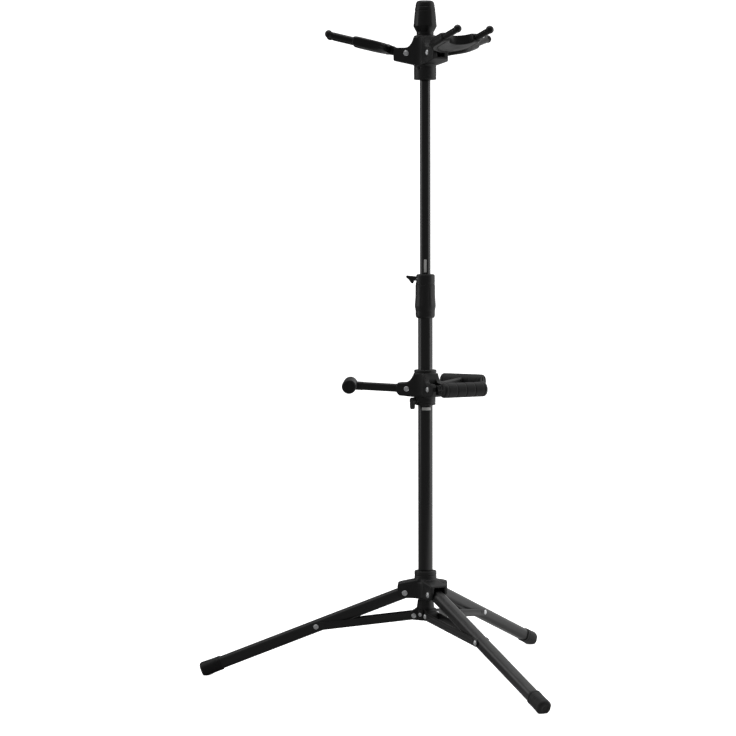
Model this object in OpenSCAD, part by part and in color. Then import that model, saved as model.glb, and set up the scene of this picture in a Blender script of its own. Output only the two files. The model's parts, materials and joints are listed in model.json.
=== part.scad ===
// Three-way hanging instrument stand: folding tripod, telescopic pole with a
// quick-release clutch, a sliding collar with three folding rest arms and a
// head with three folding U-shaped yokes. Millimetres, +Z up, origin on the
// floor on the pole's axis. The first spoke of each tier points along -X.

/* [Pole] */
// Outer radius of the lower tube
lower_r = 12.5; // [12:0.1:12.8]
// Outer radius of the upper tube
upper_r = 9; // [8.6:0.1:9.4]
// Wall thickness of both tubes
tube_wall = 1.2; // [0.8:0.1:1.5]
// Running clearance between sliding pieces
run_gap = 0.05; // [0.03:0.01:0.09]

/* [Heights] */
// Bottom of the clutch housing
clutch_z = 615.4; // [600:1:640]
// Bottom of the yoke head
head_z = 1019; // [960:1:1060]
// Height of the rest arm pivots
arm_pivot_z = 495; // [485:1:510]

/* [Tripod] */
// Leg pivot distance from the pole axis
leg_pivot_r = 35.4; // [35:0.1:37]
// Leg pivot height
leg_pivot_z = 145; // [143:1:150]
// Leg angle below horizontal when set up
leg_drop = 21.3; // [20.5:0.1:21.6]
// Radius of the circle through the foot ends
foot_reach = 381; // [360:1:384]
// Height of the leg section
leg_h = 21; // [19:0.5:21]
// Width of the leg section
leg_w = 20; // [18:0.5:20]
// Distance along the leg from its pivot to the strut rivet
strut_at = 163.4; // [150:0.1:175]
// Strut pivot distance from the pole axis
strut_pivot_r = 19.9; // [19.8:0.1:20.4]
// Strut pivot height
strut_pivot_z = 105.7; // [105:0.1:107]
// Height of each strut bar
strut_h = 13.3; // [11:0.1:13.3]

/* [Rest arms] */
// Arm pivot distance from the pole axis
arm_pivot_r = 32; // [31.5:0.1:33]
// Length of each arm from pivot to crossbar
arm_len = 97.2; // [85:0.1:105]
// Angle of the arms above horizontal
arm_rise = 3.2; // [0:0.1:6]
// Outer radius of the pads
pad_r = 12.4; // [12:0.1:13.5]
// Length of the pads
pad_len = 82; // [76:1:98]
// Height of the arm bars
arm_h = 14.2; // [12:0.1:14.2]

/* [Yokes] */
// Yoke pivot distance from the pole axis
yoke_pivot_r = 32.2; // [31.8:0.1:33]
// Angle of the yokes above horizontal
yoke_tilt = 13.5; // [8:0.5:18]
// Half the distance between the prongs
yoke_half = 30.6; // [27:0.1:33]
// Distance from the yoke pivot to the centre of its bend
yoke_bend = 65.2; // [62:0.1:70]
// Distance from the yoke pivot to the prong tips
yoke_tip = 136.6; // [120:0.1:145]
// Half the thickness of the crescent pads
crescent_t = 7.3; // [6.9:0.1:7.6]
// Half the width of the crescent pads
crescent_w = 38.1; // [37:0.1:39]
// Distance from the centre of the bend to the ends of the crescent pads
crescent_end = 27.3; // [24:0.1:30]
// Height of the yoke stems
stem_h = 13.2; // [10:0.1:13.4]
// Radius of the thin prong covers
prong_r = 4.8; // [4.6:0.1:5.2]
// Radius of the rounded tips
tip_r = 6.3; // [5.6:0.1:6.6]

/* [Hidden] */
$fn = 64;

spoke_az = [180, -60, 60];
leg_len = (foot_reach - leg_pivot_r) / cos(leg_drop);
joint_x = leg_pivot_r + strut_at * cos(leg_drop);
joint_z = leg_pivot_z - strut_at * sin(leg_drop);
strut_len = sqrt(pow(joint_x - strut_pivot_r, 2) + pow(joint_z - strut_pivot_z, 2));
strut_drop = atan2(strut_pivot_z - joint_z, joint_x - strut_pivot_r);
clutch_top = clutch_z + 74.6;
yoke_pivot_z = head_z + 44;
head_top = head_z + 74.5;
collar_z = arm_pivot_z - 28.3;
clamp_z = arm_pivot_z - 20;
clamp_az = -150;
slot_half = 7.2;
lug_half = 14;
bar_in = leg_w / 2 + 0.15;
bar_out = bar_in + 2;
strut_lug = bar_in - 0.15;
cheek_in = leg_w / 2 + 0.4;
cheek_out = 15.5;
lever_x = -13.6;
lever_z = clutch_top - 7.6;
post_z = clutch_z - 25.4;

// ---- shared shapes ----
module spoke(i) rotate([0, 0, spoke_az[i]]) children();
// a 2D outline in the X-Z plane, extruded both ways along Y
module slab(half) rotate([90, 0, 0]) linear_extrude(2 * half, center = true) children();
// a round bar along Y
module ybar(r, l) rotate([90, 0, 0]) cylinder(r = r, h = l, center = true);
// an outline extruded along +X from x0 to x1
module xbar(x0, x1) translate([x0, 0, 0]) rotate([0, 90, 0]) linear_extrude(x1 - x0) children();
// rounded rectangle, h across and w deep
module rrect(h, w, r) {
    square([h - 2 * r, w], center = true);
    square([h, w - 2 * r], center = true);
    for (a = [-1, 1], b = [-1, 1]) translate([a * (h / 2 - r), b * (w / 2 - r)]) circle(r);
}
module tube(r, ri, z0, z1) translate([0, 0, z0]) difference() {
    cylinder(r = r, h = z1 - z0);
    translate([0, 0, -1]) cylinder(r = ri, h = z1 - z0 + 2);
}
// domed rivet head standing on z = 0
module dome(r, t) rotate_extrude() polygon([[0, 0], [r, 0], [r, 0.28 * t], [0.86 * r, 0.66 * t], [0.52 * r, 0.94 * t], [0, t]]);
// rivet along Y with a head on each end
module rivet(r, half, hr, ht) {
    ybar(r, 2 * half);
    for (s = [-1, 1]) translate([0, s * half, 0]) rotate([-90 * s, 0, 0]) dome(hr, ht);
}
module at_leg(i) spoke(i) translate([leg_pivot_r, 0, leg_pivot_z]) rotate([0, leg_drop, 0]) children();
module at_strut(i) spoke(i) translate([strut_pivot_r, 0, strut_pivot_z]) rotate([0, strut_drop, 0]) children();
module at_arm(i) spoke(i) translate([arm_pivot_r, 0, arm_pivot_z]) rotate([0, -arm_rise, 0]) children();
module at_yoke(i) spoke(i) translate([yoke_pivot_r, 0, yoke_pivot_z]) rotate([0, -yoke_tilt, 0]) children();

// ---- pole ----
module lower_tube() color([0.06, 0.06, 0.065]) difference() {
    tube(lower_r, lower_r - tube_wall, 99, clutch_z + 24.4);
    difference() {
        mark_box_lower(0.1);
        cylinder(r = lower_r - 0.2, h = 1000);
    }
    for (a = [-120, 0, 120]) rotate([0, 0, a]) translate([8, 0, 108]) rotate([0, 90, 0]) cylinder(r = 2.03, h = 8);
}
module mark_box_lower(g) translate([-6.5 - g, -20, collar_z - 8.4 - g]) cube([16 + 2 * g, 20, 5 + 2 * g]);
module height_mark_lower() color([0.8, 0.8, 0.78]) intersection() {
    tube(lower_r, lower_r - 0.17, collar_z - 20, collar_z);
    mark_box_lower(0);
}
module tube_end_plug() color([0.08, 0.08, 0.08]) translate([0, 0, 99.2]) cylinder(r = lower_r - tube_wall - 0.05, h = 5.4);

module strut_hub() color([0.09, 0.09, 0.095]) difference() {
    union() {
        translate([0, 0, 97.8]) cylinder(r = 18.5, h = 19.2);
        translate([0, 0, 117]) cylinder(r1 = 15.4, r2 = 13.4, h = 15);
        for (i = [0:2]) spoke(i) slab(strut_lug) polygon([[0, 97.8], [strut_pivot_r + 1, 97.8], [strut_pivot_r + 5.6, 100.6],
            [strut_pivot_r + 7.2, 105.7], [strut_pivot_r + 5.6, 110.8], [strut_pivot_r + 1, 113.6], [14, 117], [0, 117]]);
    }
    translate([0, 0, 98.9]) cylinder(r = lower_r + 0.03, h = 60);
    translate([0, 0, 90]) cylinder(r = 9.5, h = 30);
    for (i = [0:2]) spoke(i) {
        for (s = [-1, 1]) translate([12.8, s > 0 ? strut_lug : -strut_lug - 2.6, 90]) cube([30, 2.6, 60]);
        translate([strut_pivot_r, 0, strut_pivot_z]) ybar(2.52, 60);
    }
    for (a = [-120, 0, 120]) rotate([0, 0, a]) translate([8, 0, 108]) rotate([0, 90, 0]) cylinder(r = 2.03, h = 20);
}
module strut_hub_screws() color([0.75, 0.76, 0.78]) for (a = [-120, 0, 120]) rotate([0, 0, a]) translate([0, 0, 108]) {
    translate([11.4, 0, 0]) rotate([0, 90, 0]) cylinder(r = 2, h = 7.2);
    translate([18.55, 0, 0]) rotate([0, 90, 0]) dome(3.6, 1.8);
}
module strut_pivot_pins() color([0.75, 0.76, 0.78]) for (i = [0:2]) spoke(i)
    translate([strut_pivot_r, 0, strut_pivot_z]) rivet(2.5, bar_out + 0.08, 4.3, 1.8);

// ---- clutch ----
module clutch_body() color([0.08, 0.08, 0.085]) difference() {
    translate([0, 0, clutch_z]) rotate_extrude() polygon([[10.4, 0], [14.6, 0], [16.2, 2.4], [16.6, 5], [16.6, 12], [17.6, 17.5], [18.1, 20.4],
        [17.7, 26], [17.0, 36], [16.8, 50], [16.7, 56.4], [10.4, 56.4]]);
    translate([0, 0, clutch_z - 1]) cylinder(r = lower_r + 0.03, h = 25.5);
    translate([0, 0, clutch_z + 26]) cylinder(r = 12, h = 60);
}
module clutch_collet() color([0.16, 0.16, 0.17]) difference() {
    tube(11.95, upper_r + run_gap, clutch_z + 26.1, clutch_z + 56.2);
    for (a = [60, 180, 300]) rotate([0, 0, a]) translate([0, -0.8, clutch_z + 34]) cube([30, 1.6, 40]);
}
module clutch_cap() color([0.08, 0.08, 0.085]) difference() {
    translate([0, 0, clutch_z + 56.5]) rotate_extrude() polygon([[upper_r + run_gap, 0], [16.4, 0], [16.4, 15.4], [15.6, 17.4], [13.2, 18.1], [upper_r + run_gap, 18.1]]);
    translate([-30, -5.2, clutch_z + 60.6]) cube([30 + lever_x + 3.9, 10.4, 40]);
    translate([lever_x, 0, lever_z]) ybar(1.52, 60);
}
module clutch_lever_pin() color([0.72, 0.73, 0.75]) translate([lever_x, 0, lever_z]) ybar(1.48, 13.6);
module clutch_lever() color([0.07, 0.07, 0.075]) difference() {
    union() {
        translate([lever_x, 0, lever_z]) ybar(3.5, 10);
        slab(5) polygon([[lever_x, lever_z + 3.5], [lever_x - 6, lever_z + 4.2], [-26, lever_z + 4.6], [-31.4, lever_z + 5.2], [-32.5, lever_z + 4.2],
            [-31.6, lever_z + 2.9], [-28, lever_z + 1], [-25.4, lever_z - 3], [-23.8, lever_z - 7], [-22.2, lever_z - 8], [-20.8, lever_z - 7.4], [-19, lever_z - 3.3], [lever_x, lever_z - 3.5]]);
    }
    translate([lever_x, 0, lever_z]) ybar(1.55, 60);
    translate([lever_x, 0, lever_z]) ybar(3.9, 4.4);
    translate([lever_x - 4.6, -2.2, lever_z - 3.9]) cube([12, 4.4, 7.8]);
}
// torsion spring: a round wire swept along a helix about the lever pin
function coil_c(t, turns, r, pitch) = [r * cos(360 * t * turns), r * sin(360 * t * turns), pitch * turns * (t - 0.5)];
module coil(turns, r, pitch, wr, n, m) {
    pts = [for (k = [0:n]) let (t = k / n, a = 360 * t * turns, c = coil_c(t, turns, r, pitch))
        for (j = [0:m - 1]) let (b = 360 * j / m) [c[0] + wr * cos(b) * cos(a), c[1] + wr * cos(b) * sin(a), c[2] + wr * sin(b)]];
    side = [for (k = [0:n - 1], j = [0:m - 1]) let (p = k * m, q = (k + 1) * m, j2 = (j + 1) % m) [p + j, p + j2, q + j2, q + j]];
    polyhedron(points = pts, faces = concat([[for (j = [m - 1:-1:0]) m - 1 - j]], side, [[for (j = [0:m - 1]) n * m + m - 1 - j]]));
}
module clutch_spring() color([0.7, 0.71, 0.73]) translate([lever_x, 0, lever_z]) rotate([90, 0, 0]) coil(4, 2.5, 0.95, 0.36, 64, 8);

// ---- telescopic post and yoke head ----
module upper_tube() color([0.07, 0.07, 0.075]) difference() {
    tube(upper_r, upper_r - tube_wall, post_z, head_z + 55);
    difference() {
        mark_box_upper(0.1);
        cylinder(r = upper_r - 0.2, h = 1000);
    }
}
module mark_box_upper(g) translate([-2.2 - g, -20, clutch_top + 3 - g]) cube([4.4 + 2 * g, 20, 22 + 2 * g]);
module height_mark_upper() color([0.8, 0.8, 0.78]) intersection() {
    tube(upper_r, upper_r - 0.17, clutch_top, clutch_top + 40);
    mark_box_upper(0);
}
module post_bush() color([0.6, 0.6, 0.58]) tube(lower_r - tube_wall - run_gap, upper_r + 0.03, post_z, post_z + 22);

module yoke_head() color([0.08, 0.08, 0.085]) difference() {
    union() {
        translate([0, 0, head_z]) rotate_extrude() polygon([[0, 0], [18.2, 0], [19.05, 0.9], [19.05, 25.5], [18.9, 26], [18.9, 72.5], [17.6, 74.5], [0, 74.5]]);
        for (i = [0:2]) spoke(i) translate([0, 0, head_z]) slab(lug_half + 0.5) polygon([[0, 24.8], [18, 24.8], [52.6, 32.5], [53.5, 33.6], [53.5, 52], [52, 53.7],
            [34, 53.7], [30.4, 54.3], [26.6, 56.8], [23.4, 61], [21, 66.2], [19.6, 71], [0, 71]]);
    }
    translate([0, 0, head_z - 1]) cylinder(r = upper_r + 0.03, h = 56.2);
    translate([0, 0, head_z + 58]) cylinder(r = 4.03, h = 30);
    for (i = [0:2]) spoke(i) {
        translate([24, -slot_half, head_z + 36.2]) cube([40, 2 * slot_half, 60]);
        translate([yoke_pivot_r, 0, yoke_pivot_z]) ybar(2.52, 60);
    }
    rotate([0, 0, -122]) translate([7, 0, head_z + 19]) rotate([0, 90, 0]) cylinder(r = 2.53, h = 20);
}
module head_set_screw() color([0.3, 0.3, 0.32]) rotate([0, 0, -122]) translate([upper_r + 0.1, 0, head_z + 19]) rotate([0, 90, 0]) difference() {
    cylinder(r = 2.5, h = 9.2);
    translate([0, 0, 6.6]) cylinder(r = 1.3, h = 4, $fn = 6);
}
module grip_stud() color([0.7, 0.71, 0.73]) translate([0, 0, head_z + 58.4]) cylinder(r = 4, h = 46);
module top_grip() color([0.05, 0.05, 0.055]) difference() {
    translate([0, 0, head_top + 0.1]) rotate_extrude() polygon([[0, 0], [14.2, 0], [14.2, 5.6], [19.0, 14.2], [19.6, 15.8], [18.4, 30.5], [17.2, 43.5],
        [16.7, 45.6], [15.9, 50.5], [14.9, 55], [13.0, 57.6], [10.5, 58.4], [0, 58.4]]);
    translate([0, 0, head_top - 1]) cylinder(r = 4.03, h = 31.2);
}
module yoke_pivot_pins() color([0.75, 0.76, 0.78]) for (i = [0:2]) spoke(i)
    translate([yoke_pivot_r, 0, yoke_pivot_z]) rivet(2.48, lug_half + 0.55, 4.6, 1.8);

// ---- sliding collar ----
module mid_collar() color([0.08, 0.08, 0.085]) difference() {
    union() {
        translate([0, 0, collar_z]) rotate_extrude() polygon([[10, 0], [16.6, 0], [17.5, 1], [17.5, 14], [19.2, 18], [19.2, 58], [17.4, 60.4], [10, 60.4]]);
        for (i = [0:2]) spoke(i) translate([0, 0, arm_pivot_z]) slab(lug_half) polygon([[0, -14], [20, -14], [44.5, -11.3], [48.6, -7], [50, -3], [50, 4], [47, 9.2],
            [42, 10], [34, 10.2], [30.4, 10.8], [26.8, 13.2], [23.8, 17], [21.4, 21.6], [19.6, 25.5], [0, 25.5]]);
        rotate([0, 0, clamp_az]) translate([11, 0, clamp_z]) rotate([0, 90, 0]) cylinder(r = 6.2, h = 9.4);
    }
    translate([0, 0, collar_z - 1]) cylinder(r = lower_r + run_gap, h = 70);
    for (i = [0:2]) spoke(i) {
        translate([24, -slot_half, arm_pivot_z - 7.5]) cube([40, 2 * slot_half, 60]);
        translate([arm_pivot_r, 0, arm_pivot_z]) ybar(2.52, 60);
    }
    rotate([0, 0, clamp_az]) translate([0, 0, clamp_z]) rotate([0, 90, 0]) {
        cylinder(r = 2.95, h = 40);
        translate([0, 0, 14.9]) cylinder(r = 4.65, h = 3.1, $fn = 6);
    }
}
module arm_pivot_pins() color([0.75, 0.76, 0.78]) for (i = [0:2]) spoke(i)
    translate([arm_pivot_r, 0, arm_pivot_z]) rivet(2.48, lug_half + 0.05, 4.6, 1.8);
module clamp_nut() color([0.72, 0.73, 0.75]) rotate([0, 0, clamp_az]) translate([14.95, 0, clamp_z]) rotate([0, 90, 0]) difference() {
    cylinder(r = 4.6, h = 3, $fn = 6);
    translate([0, 0, -1]) cylinder(r = 2.95, h = 6);
}
module clamp_screw() color([0.75, 0.76, 0.78]) rotate([0, 0, clamp_az]) translate([0, 0, clamp_z]) rotate([0, 90, 0]) {
    translate([0, 0, lower_r + 0.15]) cylinder(r = 2.88, h = 15.2 - 0.15 + 12.5 - lower_r);
}
module clamp_lever() color([0.09, 0.09, 0.09]) rotate([0, 0, clamp_az]) translate([0, 0, clamp_z]) difference() {
    union() {
        translate([21.2, 0, 0]) rotate([0, 90, 0]) cylinder(r = 5.3, h = 7);
        translate([22, 0, 0]) rotate([90, 0, 90]) linear_extrude(6.4) polygon([[-4.6, 0], [-3.9, -11.5], [-2.6, -13.9], [0, -14.8], [2.6, -13.9], [3.9, -11.5], [4.6, 0]]);
    }
    translate([20, 0, 0]) rotate([0, 90, 0]) cylinder(r = 2.93, h = 7.8);
}

// ---- sliding leg hub ----
module leg_hub() color([0.09, 0.09, 0.095]) difference() {
    union() {
        translate([0, 0, leg_pivot_z]) rotate_extrude() polygon([[0, -9], [21, -9], [21, 17], [19, 17], [19, 35.8], [17.6, 37.2], [0, 37.2]]);
        for (i = [0:2]) spoke(i) translate([0, 0, leg_pivot_z]) slab(cheek_out) polygon([[15, -9], [37, -9], [42.4, -6.2], [46.4, -1.5], [47.7, 4], [47.7, 15.4], [46.6, 16.8], [15, 23]]);
    }
    translate([0, 0, leg_pivot_z - 30]) cylinder(r = lower_r + run_gap, h = 90);
    for (i = [0:2]) spoke(i) translate([0, 0, leg_pivot_z]) {
        slab(cheek_in) polygon([[21.6, -40], [70, -40], [70, 8.7], [21.6, 18]]);
        translate([leg_pivot_r, 0, 0]) ybar(3.03, 60);
    }
}
module leg_pivot_pins() color([0.75, 0.76, 0.78]) for (i = [0:2]) spoke(i)
    translate([leg_pivot_r, 0, leg_pivot_z]) rivet(3, cheek_out + 0.05, 4.9, 2);

// ---- legs, feet and struts ----
module leg(i) color([0.06, 0.06, 0.065]) at_leg(i) difference() {
    xbar(-8, leg_len - 5) rrect(leg_h, leg_w, 7);
    xbar(-9, leg_len) rrect(leg_h - 3, leg_w - 3, 5.5);
    ybar(3.05, 60);
}
module foot(i) color([0.05, 0.05, 0.05]) difference() {
    at_leg(i) difference() {
        translate([leg_len, 0, 0]) rotate([0, 90, 0]) rotate_extrude() polygon([[0, -33], [12.5, -33], [12.8, -20], [13.3, 0], [12.3, 3.6], [9.4, 5.4], [0, 5.4]]);
        xbar(leg_len - 40, leg_len - 4.9) rrect(leg_h + 0.08, leg_w + 0.08, 7.04);
    }
    translate([-600, -600, -60]) cube([1200, 1200, 60]);
}
module strut(i) color([0.08, 0.08, 0.085]) at_strut(i) for (s = [-1, 1]) translate([0, s * (bar_in + bar_out) / 2, 0]) slab((bar_out - bar_in) / 2) difference() {
    union() {
        circle(strut_h / 2);
        translate([strut_len, 0]) circle(strut_h / 2);
        translate([0, -strut_h / 2]) square([strut_len, strut_h]);
    }
    circle(2.55);
    translate([strut_len, 0]) circle(2.53);
}
module strut_rivets(i) color([0.75, 0.76, 0.78]) at_strut(i) for (s = [-1, 1]) translate([strut_len, s * (bar_in + 0.04), 0]) rotate([-90 * s, 0, 0]) {
    cylinder(r = 2.5, h = 2.2);
    translate([0, 0, 2.0]) dome(4.4, 1.6);
}

// ---- rest arms ----
module arm(i) color([0.07, 0.07, 0.075]) at_arm(i) difference() {
    union() {
        ybar(6.8, 14);
        xbar(0, arm_len) rrect(arm_h, 12, 4);
        translate([arm_len, 0, 0]) ybar(8.6, pad_len - 6);
    }
    ybar(2.53, 60);
}
module pad(i) color([0.1, 0.1, 0.1]) at_arm(i) difference() {
    translate([arm_len, 0, 0]) rotate([90, 0, 0]) rotate_extrude() polygon([[0, -pad_len / 2], [pad_r - 3, -pad_len / 2], [pad_r - 1, -pad_len / 2 + 0.8], [pad_r, -pad_len / 2 + 3],
        [pad_r, pad_len / 2 - 3], [pad_r - 1, pad_len / 2 - 0.8], [pad_r - 3, pad_len / 2], [0, pad_len / 2]]);
    translate([arm_len, 0, 0]) ybar(8.64, pad_len - 5.9);
    xbar(arm_len - 30, arm_len) rrect(arm_h + 0.1, 12.1, 4.05);
}

// ---- yokes ----
module u_bar(r, u_end) {
    translate([yoke_bend, 0, 0]) rotate([0, 0, 90]) rotate_extrude(angle = 180) translate([yoke_half, 0]) circle(r);
    for (s = [-1, 1]) translate([yoke_bend, s * yoke_half, 0]) rotate([0, 90, 0]) cylinder(r = r, h = u_end - yoke_bend);
}
module yoke(i) color([0.07, 0.07, 0.075]) at_yoke(i) difference() {
    union() {
        ybar(6.8, 14);
        xbar(0, yoke_bend - yoke_half) rrect(stem_h, 12, 4);
        u_bar(4, yoke_tip - 5);
    }
    ybar(2.53, 60);
}
// crescent-shaped soft pad round the bend: a half disc behind, a bar in front, and a round hollow between its horns
module yoke_sleeve(i) color([0.1, 0.1, 0.1]) at_yoke(i) difference() {
    union() {
        translate([yoke_bend, 0, 0]) rotate([0, 0, 90]) rotate_extrude(angle = 180) intersection() {
            rrect(2 * crescent_w, 2 * crescent_t, 5);
            translate([0, -20]) square([60, 40]);
        }
        xbar(yoke_bend, yoke_bend + crescent_end) rrect(2 * crescent_t, 2 * crescent_w, 5);
    }
    translate([yoke_bend + 32, 0, -20]) cylinder(r = 23.3, h = 40);
    u_bar(4.03, yoke_bend + crescent_end + 9);
    xbar(0, yoke_bend - yoke_half) rrect(stem_h + 0.08, 12.08, 4.04);
}
module yoke_tips(i) color([0.07, 0.07, 0.07]) at_yoke(i) for (s = [-1, 1]) translate([0, s * yoke_half, 0]) difference() {
    union() {
        translate([yoke_bend + crescent_end + 0.1, 0, 0]) rotate([0, 90, 0]) cylinder(r = prong_r, h = yoke_tip - yoke_bend - crescent_end - 2);
        translate([yoke_tip - 3, 0, 0.6]) sphere(tip_r);
    }
    translate([yoke_bend + crescent_end - 1, 0, 0]) rotate([0, 90, 0]) cylinder(r = 4.03, h = yoke_tip - yoke_bend - crescent_end - 3.9);
}

lower_tube();
tube_end_plug();
strut_hub();
strut_hub_screws();
strut_pivot_pins();
clutch_body();
clutch_cap();
clutch_collet();
clutch_lever_pin();
clutch_spring();
height_mark_lower();
clutch_lever();
upper_tube();
post_bush();
yoke_head();
head_set_screw();
grip_stud();
top_grip();
yoke_pivot_pins();
height_mark_upper();
mid_collar();
arm_pivot_pins();
clamp_nut();
clamp_screw();
clamp_lever();
leg_hub();
leg_pivot_pins();
leg(0);  // leg_left
leg(1);  // leg_front
leg(2);  // leg_rear
foot(0);  // foot_left
foot(1);  // foot_front
foot(2);  // foot_rear
strut(0);  // strut_left
strut(1);  // strut_front
strut(2);  // strut_rear
strut_rivets(0);  // strut_rivets_left
strut_rivets(1);  // strut_rivets_front
strut_rivets(2);  // strut_rivets_rear
arm(0);  // arm_left
arm(1);  // arm_front
arm(2);  // arm_rear
pad(0);  // pad_left
pad(1);  // pad_front
pad(2);  // pad_rear
yoke(0);  // yoke_left
yoke(1);  // yoke_front
yoke(2);  // yoke_rear
yoke_sleeve(0);  // yoke_sleeve_left
yoke_sleeve(1);  // yoke_sleeve_front
yoke_sleeve(2);  // yoke_sleeve_rear
yoke_tips(0);  // yoke_tips_left
yoke_tips(1);  // yoke_tips_front
yoke_tips(2);  // yoke_tips_rear
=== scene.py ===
import itertools
import json
import math

import bpy
import numpy as np
from mathutils import Matrix, Vector


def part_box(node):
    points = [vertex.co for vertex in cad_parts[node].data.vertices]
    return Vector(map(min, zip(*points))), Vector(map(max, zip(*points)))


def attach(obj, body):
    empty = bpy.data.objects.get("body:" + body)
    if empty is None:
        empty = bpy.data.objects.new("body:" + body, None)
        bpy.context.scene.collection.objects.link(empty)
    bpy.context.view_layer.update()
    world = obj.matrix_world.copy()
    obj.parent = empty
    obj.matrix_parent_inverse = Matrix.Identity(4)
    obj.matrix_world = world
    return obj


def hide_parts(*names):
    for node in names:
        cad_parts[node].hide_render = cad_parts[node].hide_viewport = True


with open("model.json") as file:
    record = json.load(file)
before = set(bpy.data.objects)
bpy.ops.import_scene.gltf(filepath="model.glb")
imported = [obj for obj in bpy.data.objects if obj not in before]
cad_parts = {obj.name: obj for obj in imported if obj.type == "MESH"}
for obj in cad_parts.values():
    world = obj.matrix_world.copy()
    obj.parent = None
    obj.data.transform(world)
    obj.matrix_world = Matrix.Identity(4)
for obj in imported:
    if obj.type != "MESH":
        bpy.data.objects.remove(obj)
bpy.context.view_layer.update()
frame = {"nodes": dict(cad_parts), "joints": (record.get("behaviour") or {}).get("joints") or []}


SC = bpy.context.scene
PI = math.pi
AZ = {"left": 180.0, "front": -60.0, "rear": 60.0}


def centre(node):
    lo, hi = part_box(node)
    return np.array([(lo[k] + hi[k]) * 500 for k in range(3)])


# ---------------------------------------------------------------- key places, millimetres, read from the frame
JOINT = {j["name"]: j for j in frame["joints"]}


def jpos(name):
    return np.array(JOINT[name]["pos_m"], float) * 1000


LEG_P = jpos("leg_fold_left")          # (-r, 0, z)
STRUT_Q = jpos("strut_fold_left")
ARM_P = jpos("arm_fold_left")
YOKE_P = jpos("yoke_fold_left")
LEVER_P = jpos("clutch_trigger")
CLAMP_P = jpos("clamp_turn")
leg_r, leg_z = -LEG_P[0], LEG_P[2]
q_r, q_z = -STRUT_Q[0], STRUT_Q[2]
arm_r, arm_z = -ARM_P[0], ARM_P[2]
yoke_r, yoke_z = -YOKE_P[0], YOKE_P[2]
riv_l = centre("strut_rivets_left")
s_r, s_z = -riv_l[0], riv_l[2]
LEG_DROP = math.atan2(leg_z - s_z, s_r - leg_r)
STRUT_DROP = math.atan2(q_z - s_z, s_r - q_r)
STRUT_LEN = math.hypot(s_r - q_r, s_z - q_z)
pad_l = centre("pad_left")
ARM_RISE = math.atan2(pad_l[2] - arm_z, -pad_l[0] - arm_r)
ARM_LEN = math.hypot(pad_l[2] - arm_z, -pad_l[0] - arm_r)
YOKE_TILT = math.radians(13.5)
HEAD_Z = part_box("yoke_head")[0][2] * 1000
CLUTCH_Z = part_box("clutch_body")[0][2] * 1000
CLUTCH_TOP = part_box("clutch_cap")[1][2] * 1000
COLLAR_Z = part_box("mid_collar")[0][2] * 1000
LEG_LEN = None
_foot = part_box("foot_left")
_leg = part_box("leg_left")

# ---------------------------------------------------------------- mesh helpers (all in millimetres)


def rotz(v, deg):
    a = math.radians(deg)
    c, s = math.cos(a), math.sin(a)
    v = np.asarray(v, float)
    return np.stack([v[..., 0] * c - v[..., 1] * s, v[..., 0] * s + v[..., 1] * c, v[..., 2]], -1)


def roty(v, rad):
    """Turns +X towards -Z for a positive angle."""
    c, s = math.cos(rad), math.sin(rad)
    v = np.asarray(v, float)
    return np.stack([v[..., 0] * c + v[..., 2] * s, v[..., 1], -v[..., 0] * s + v[..., 2] * c], -1)


def place(v, az, pivot=(0, 0, 0), drop=0.0):
    """Local piece frame (x outwards, z up) to the row frame."""
    v = roty(v, drop) + np.array(pivot, float)
    return rotz(v, az)


class Geo:
    def __init__(self):
        self.v, self.f, self.n = [], [], 0

    def add(self, v, f):
        v = np.asarray(v, float).reshape(-1, 3)
        self.v.append(v)
        self.f += [tuple(int(i) + self.n for i in face) for face in f]
        self.n += len(v)
        return self

    def join(self, other, fn=None):
        v, f = other
        return self.add(fn(v) if fn else v, f)

    @property
    def out(self):
        return np.vstack(self.v), self.f


def make(name, geo, mat, body, replaces=(), smooth=35.0, weld=False):
    v, f = geo
    me = bpy.data.meshes.new(name)
    me.from_pydata((np.asarray(v) / 1000.0).tolist(), [], f)
    me.validate()
    me.update()
    import bmesh
    bm = bmesh.new()
    bm.from_mesh(me)
    if weld:
        bmesh.ops.remove_doubles(bm, verts=bm.verts, dist=1e-7)
    loose = [x for x in bm.verts if not x.link_faces]
    if loose:
        bmesh.ops.delete(bm, geom=loose, context="VERTS")
    bmesh.ops.recalc_face_normals(bm, faces=bm.faces)
    lim = math.radians(smooth)
    for p in bm.faces:
        p.smooth = True
    for e in bm.edges:
        if len(e.link_faces) == 2:
            e.smooth = e.calc_face_angle(0) < lim
    bm.to_mesh(me)
    bm.free()
    me.materials.append(mat)
    ob = bpy.data.objects.new(name, me)
    SC.collection.objects.link(ob)
    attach(ob, body)
    if replaces:
        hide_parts(*replaces)
    return ob


def fillet(points, radius, seg=4, closed=True):
    """Rounds the corners of a 2D outline. radius is one number or one per corner."""
    pts = [np.array(p, float) for p in points]
    n = len(pts)
    rs = [radius] * n if np.isscalar(radius) else list(radius)
    out = []
    for i in range(n):
        p = pts[i]
        if rs[i] <= 0 or (not closed and i in (0, n - 1)):
            out.append(p)
            continue
        a, b = pts[i - 1] - p, pts[(i + 1) % n] - p
        la, lb = np.linalg.norm(a), np.linalg.norm(b)
        a, b = a / la, b / lb
        ang = math.acos(max(-1, min(1, float(a @ b))))
        if ang > PI - 0.02:
            out.append(p)
            continue
        t = min(rs[i] / math.tan(ang / 2), la * 0.49, lb * 0.49)
        r = t * math.tan(ang / 2)
        bis = a + b
        bis /= np.linalg.norm(bis)
        c = p + bis * (r / math.sin(ang / 2))
        s, e = p + a * t - c, p + b * t - c
        a0, a1 = math.atan2(s[1], s[0]), math.atan2(e[1], e[0])
        d = (a1 - a0 + PI) % (2 * PI) - PI
        for k in range(seg + 1):
            q = a0 + d * k / seg
            out.append(c + r * np.array([math.cos(q), math.sin(q)]))
    return out


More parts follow.
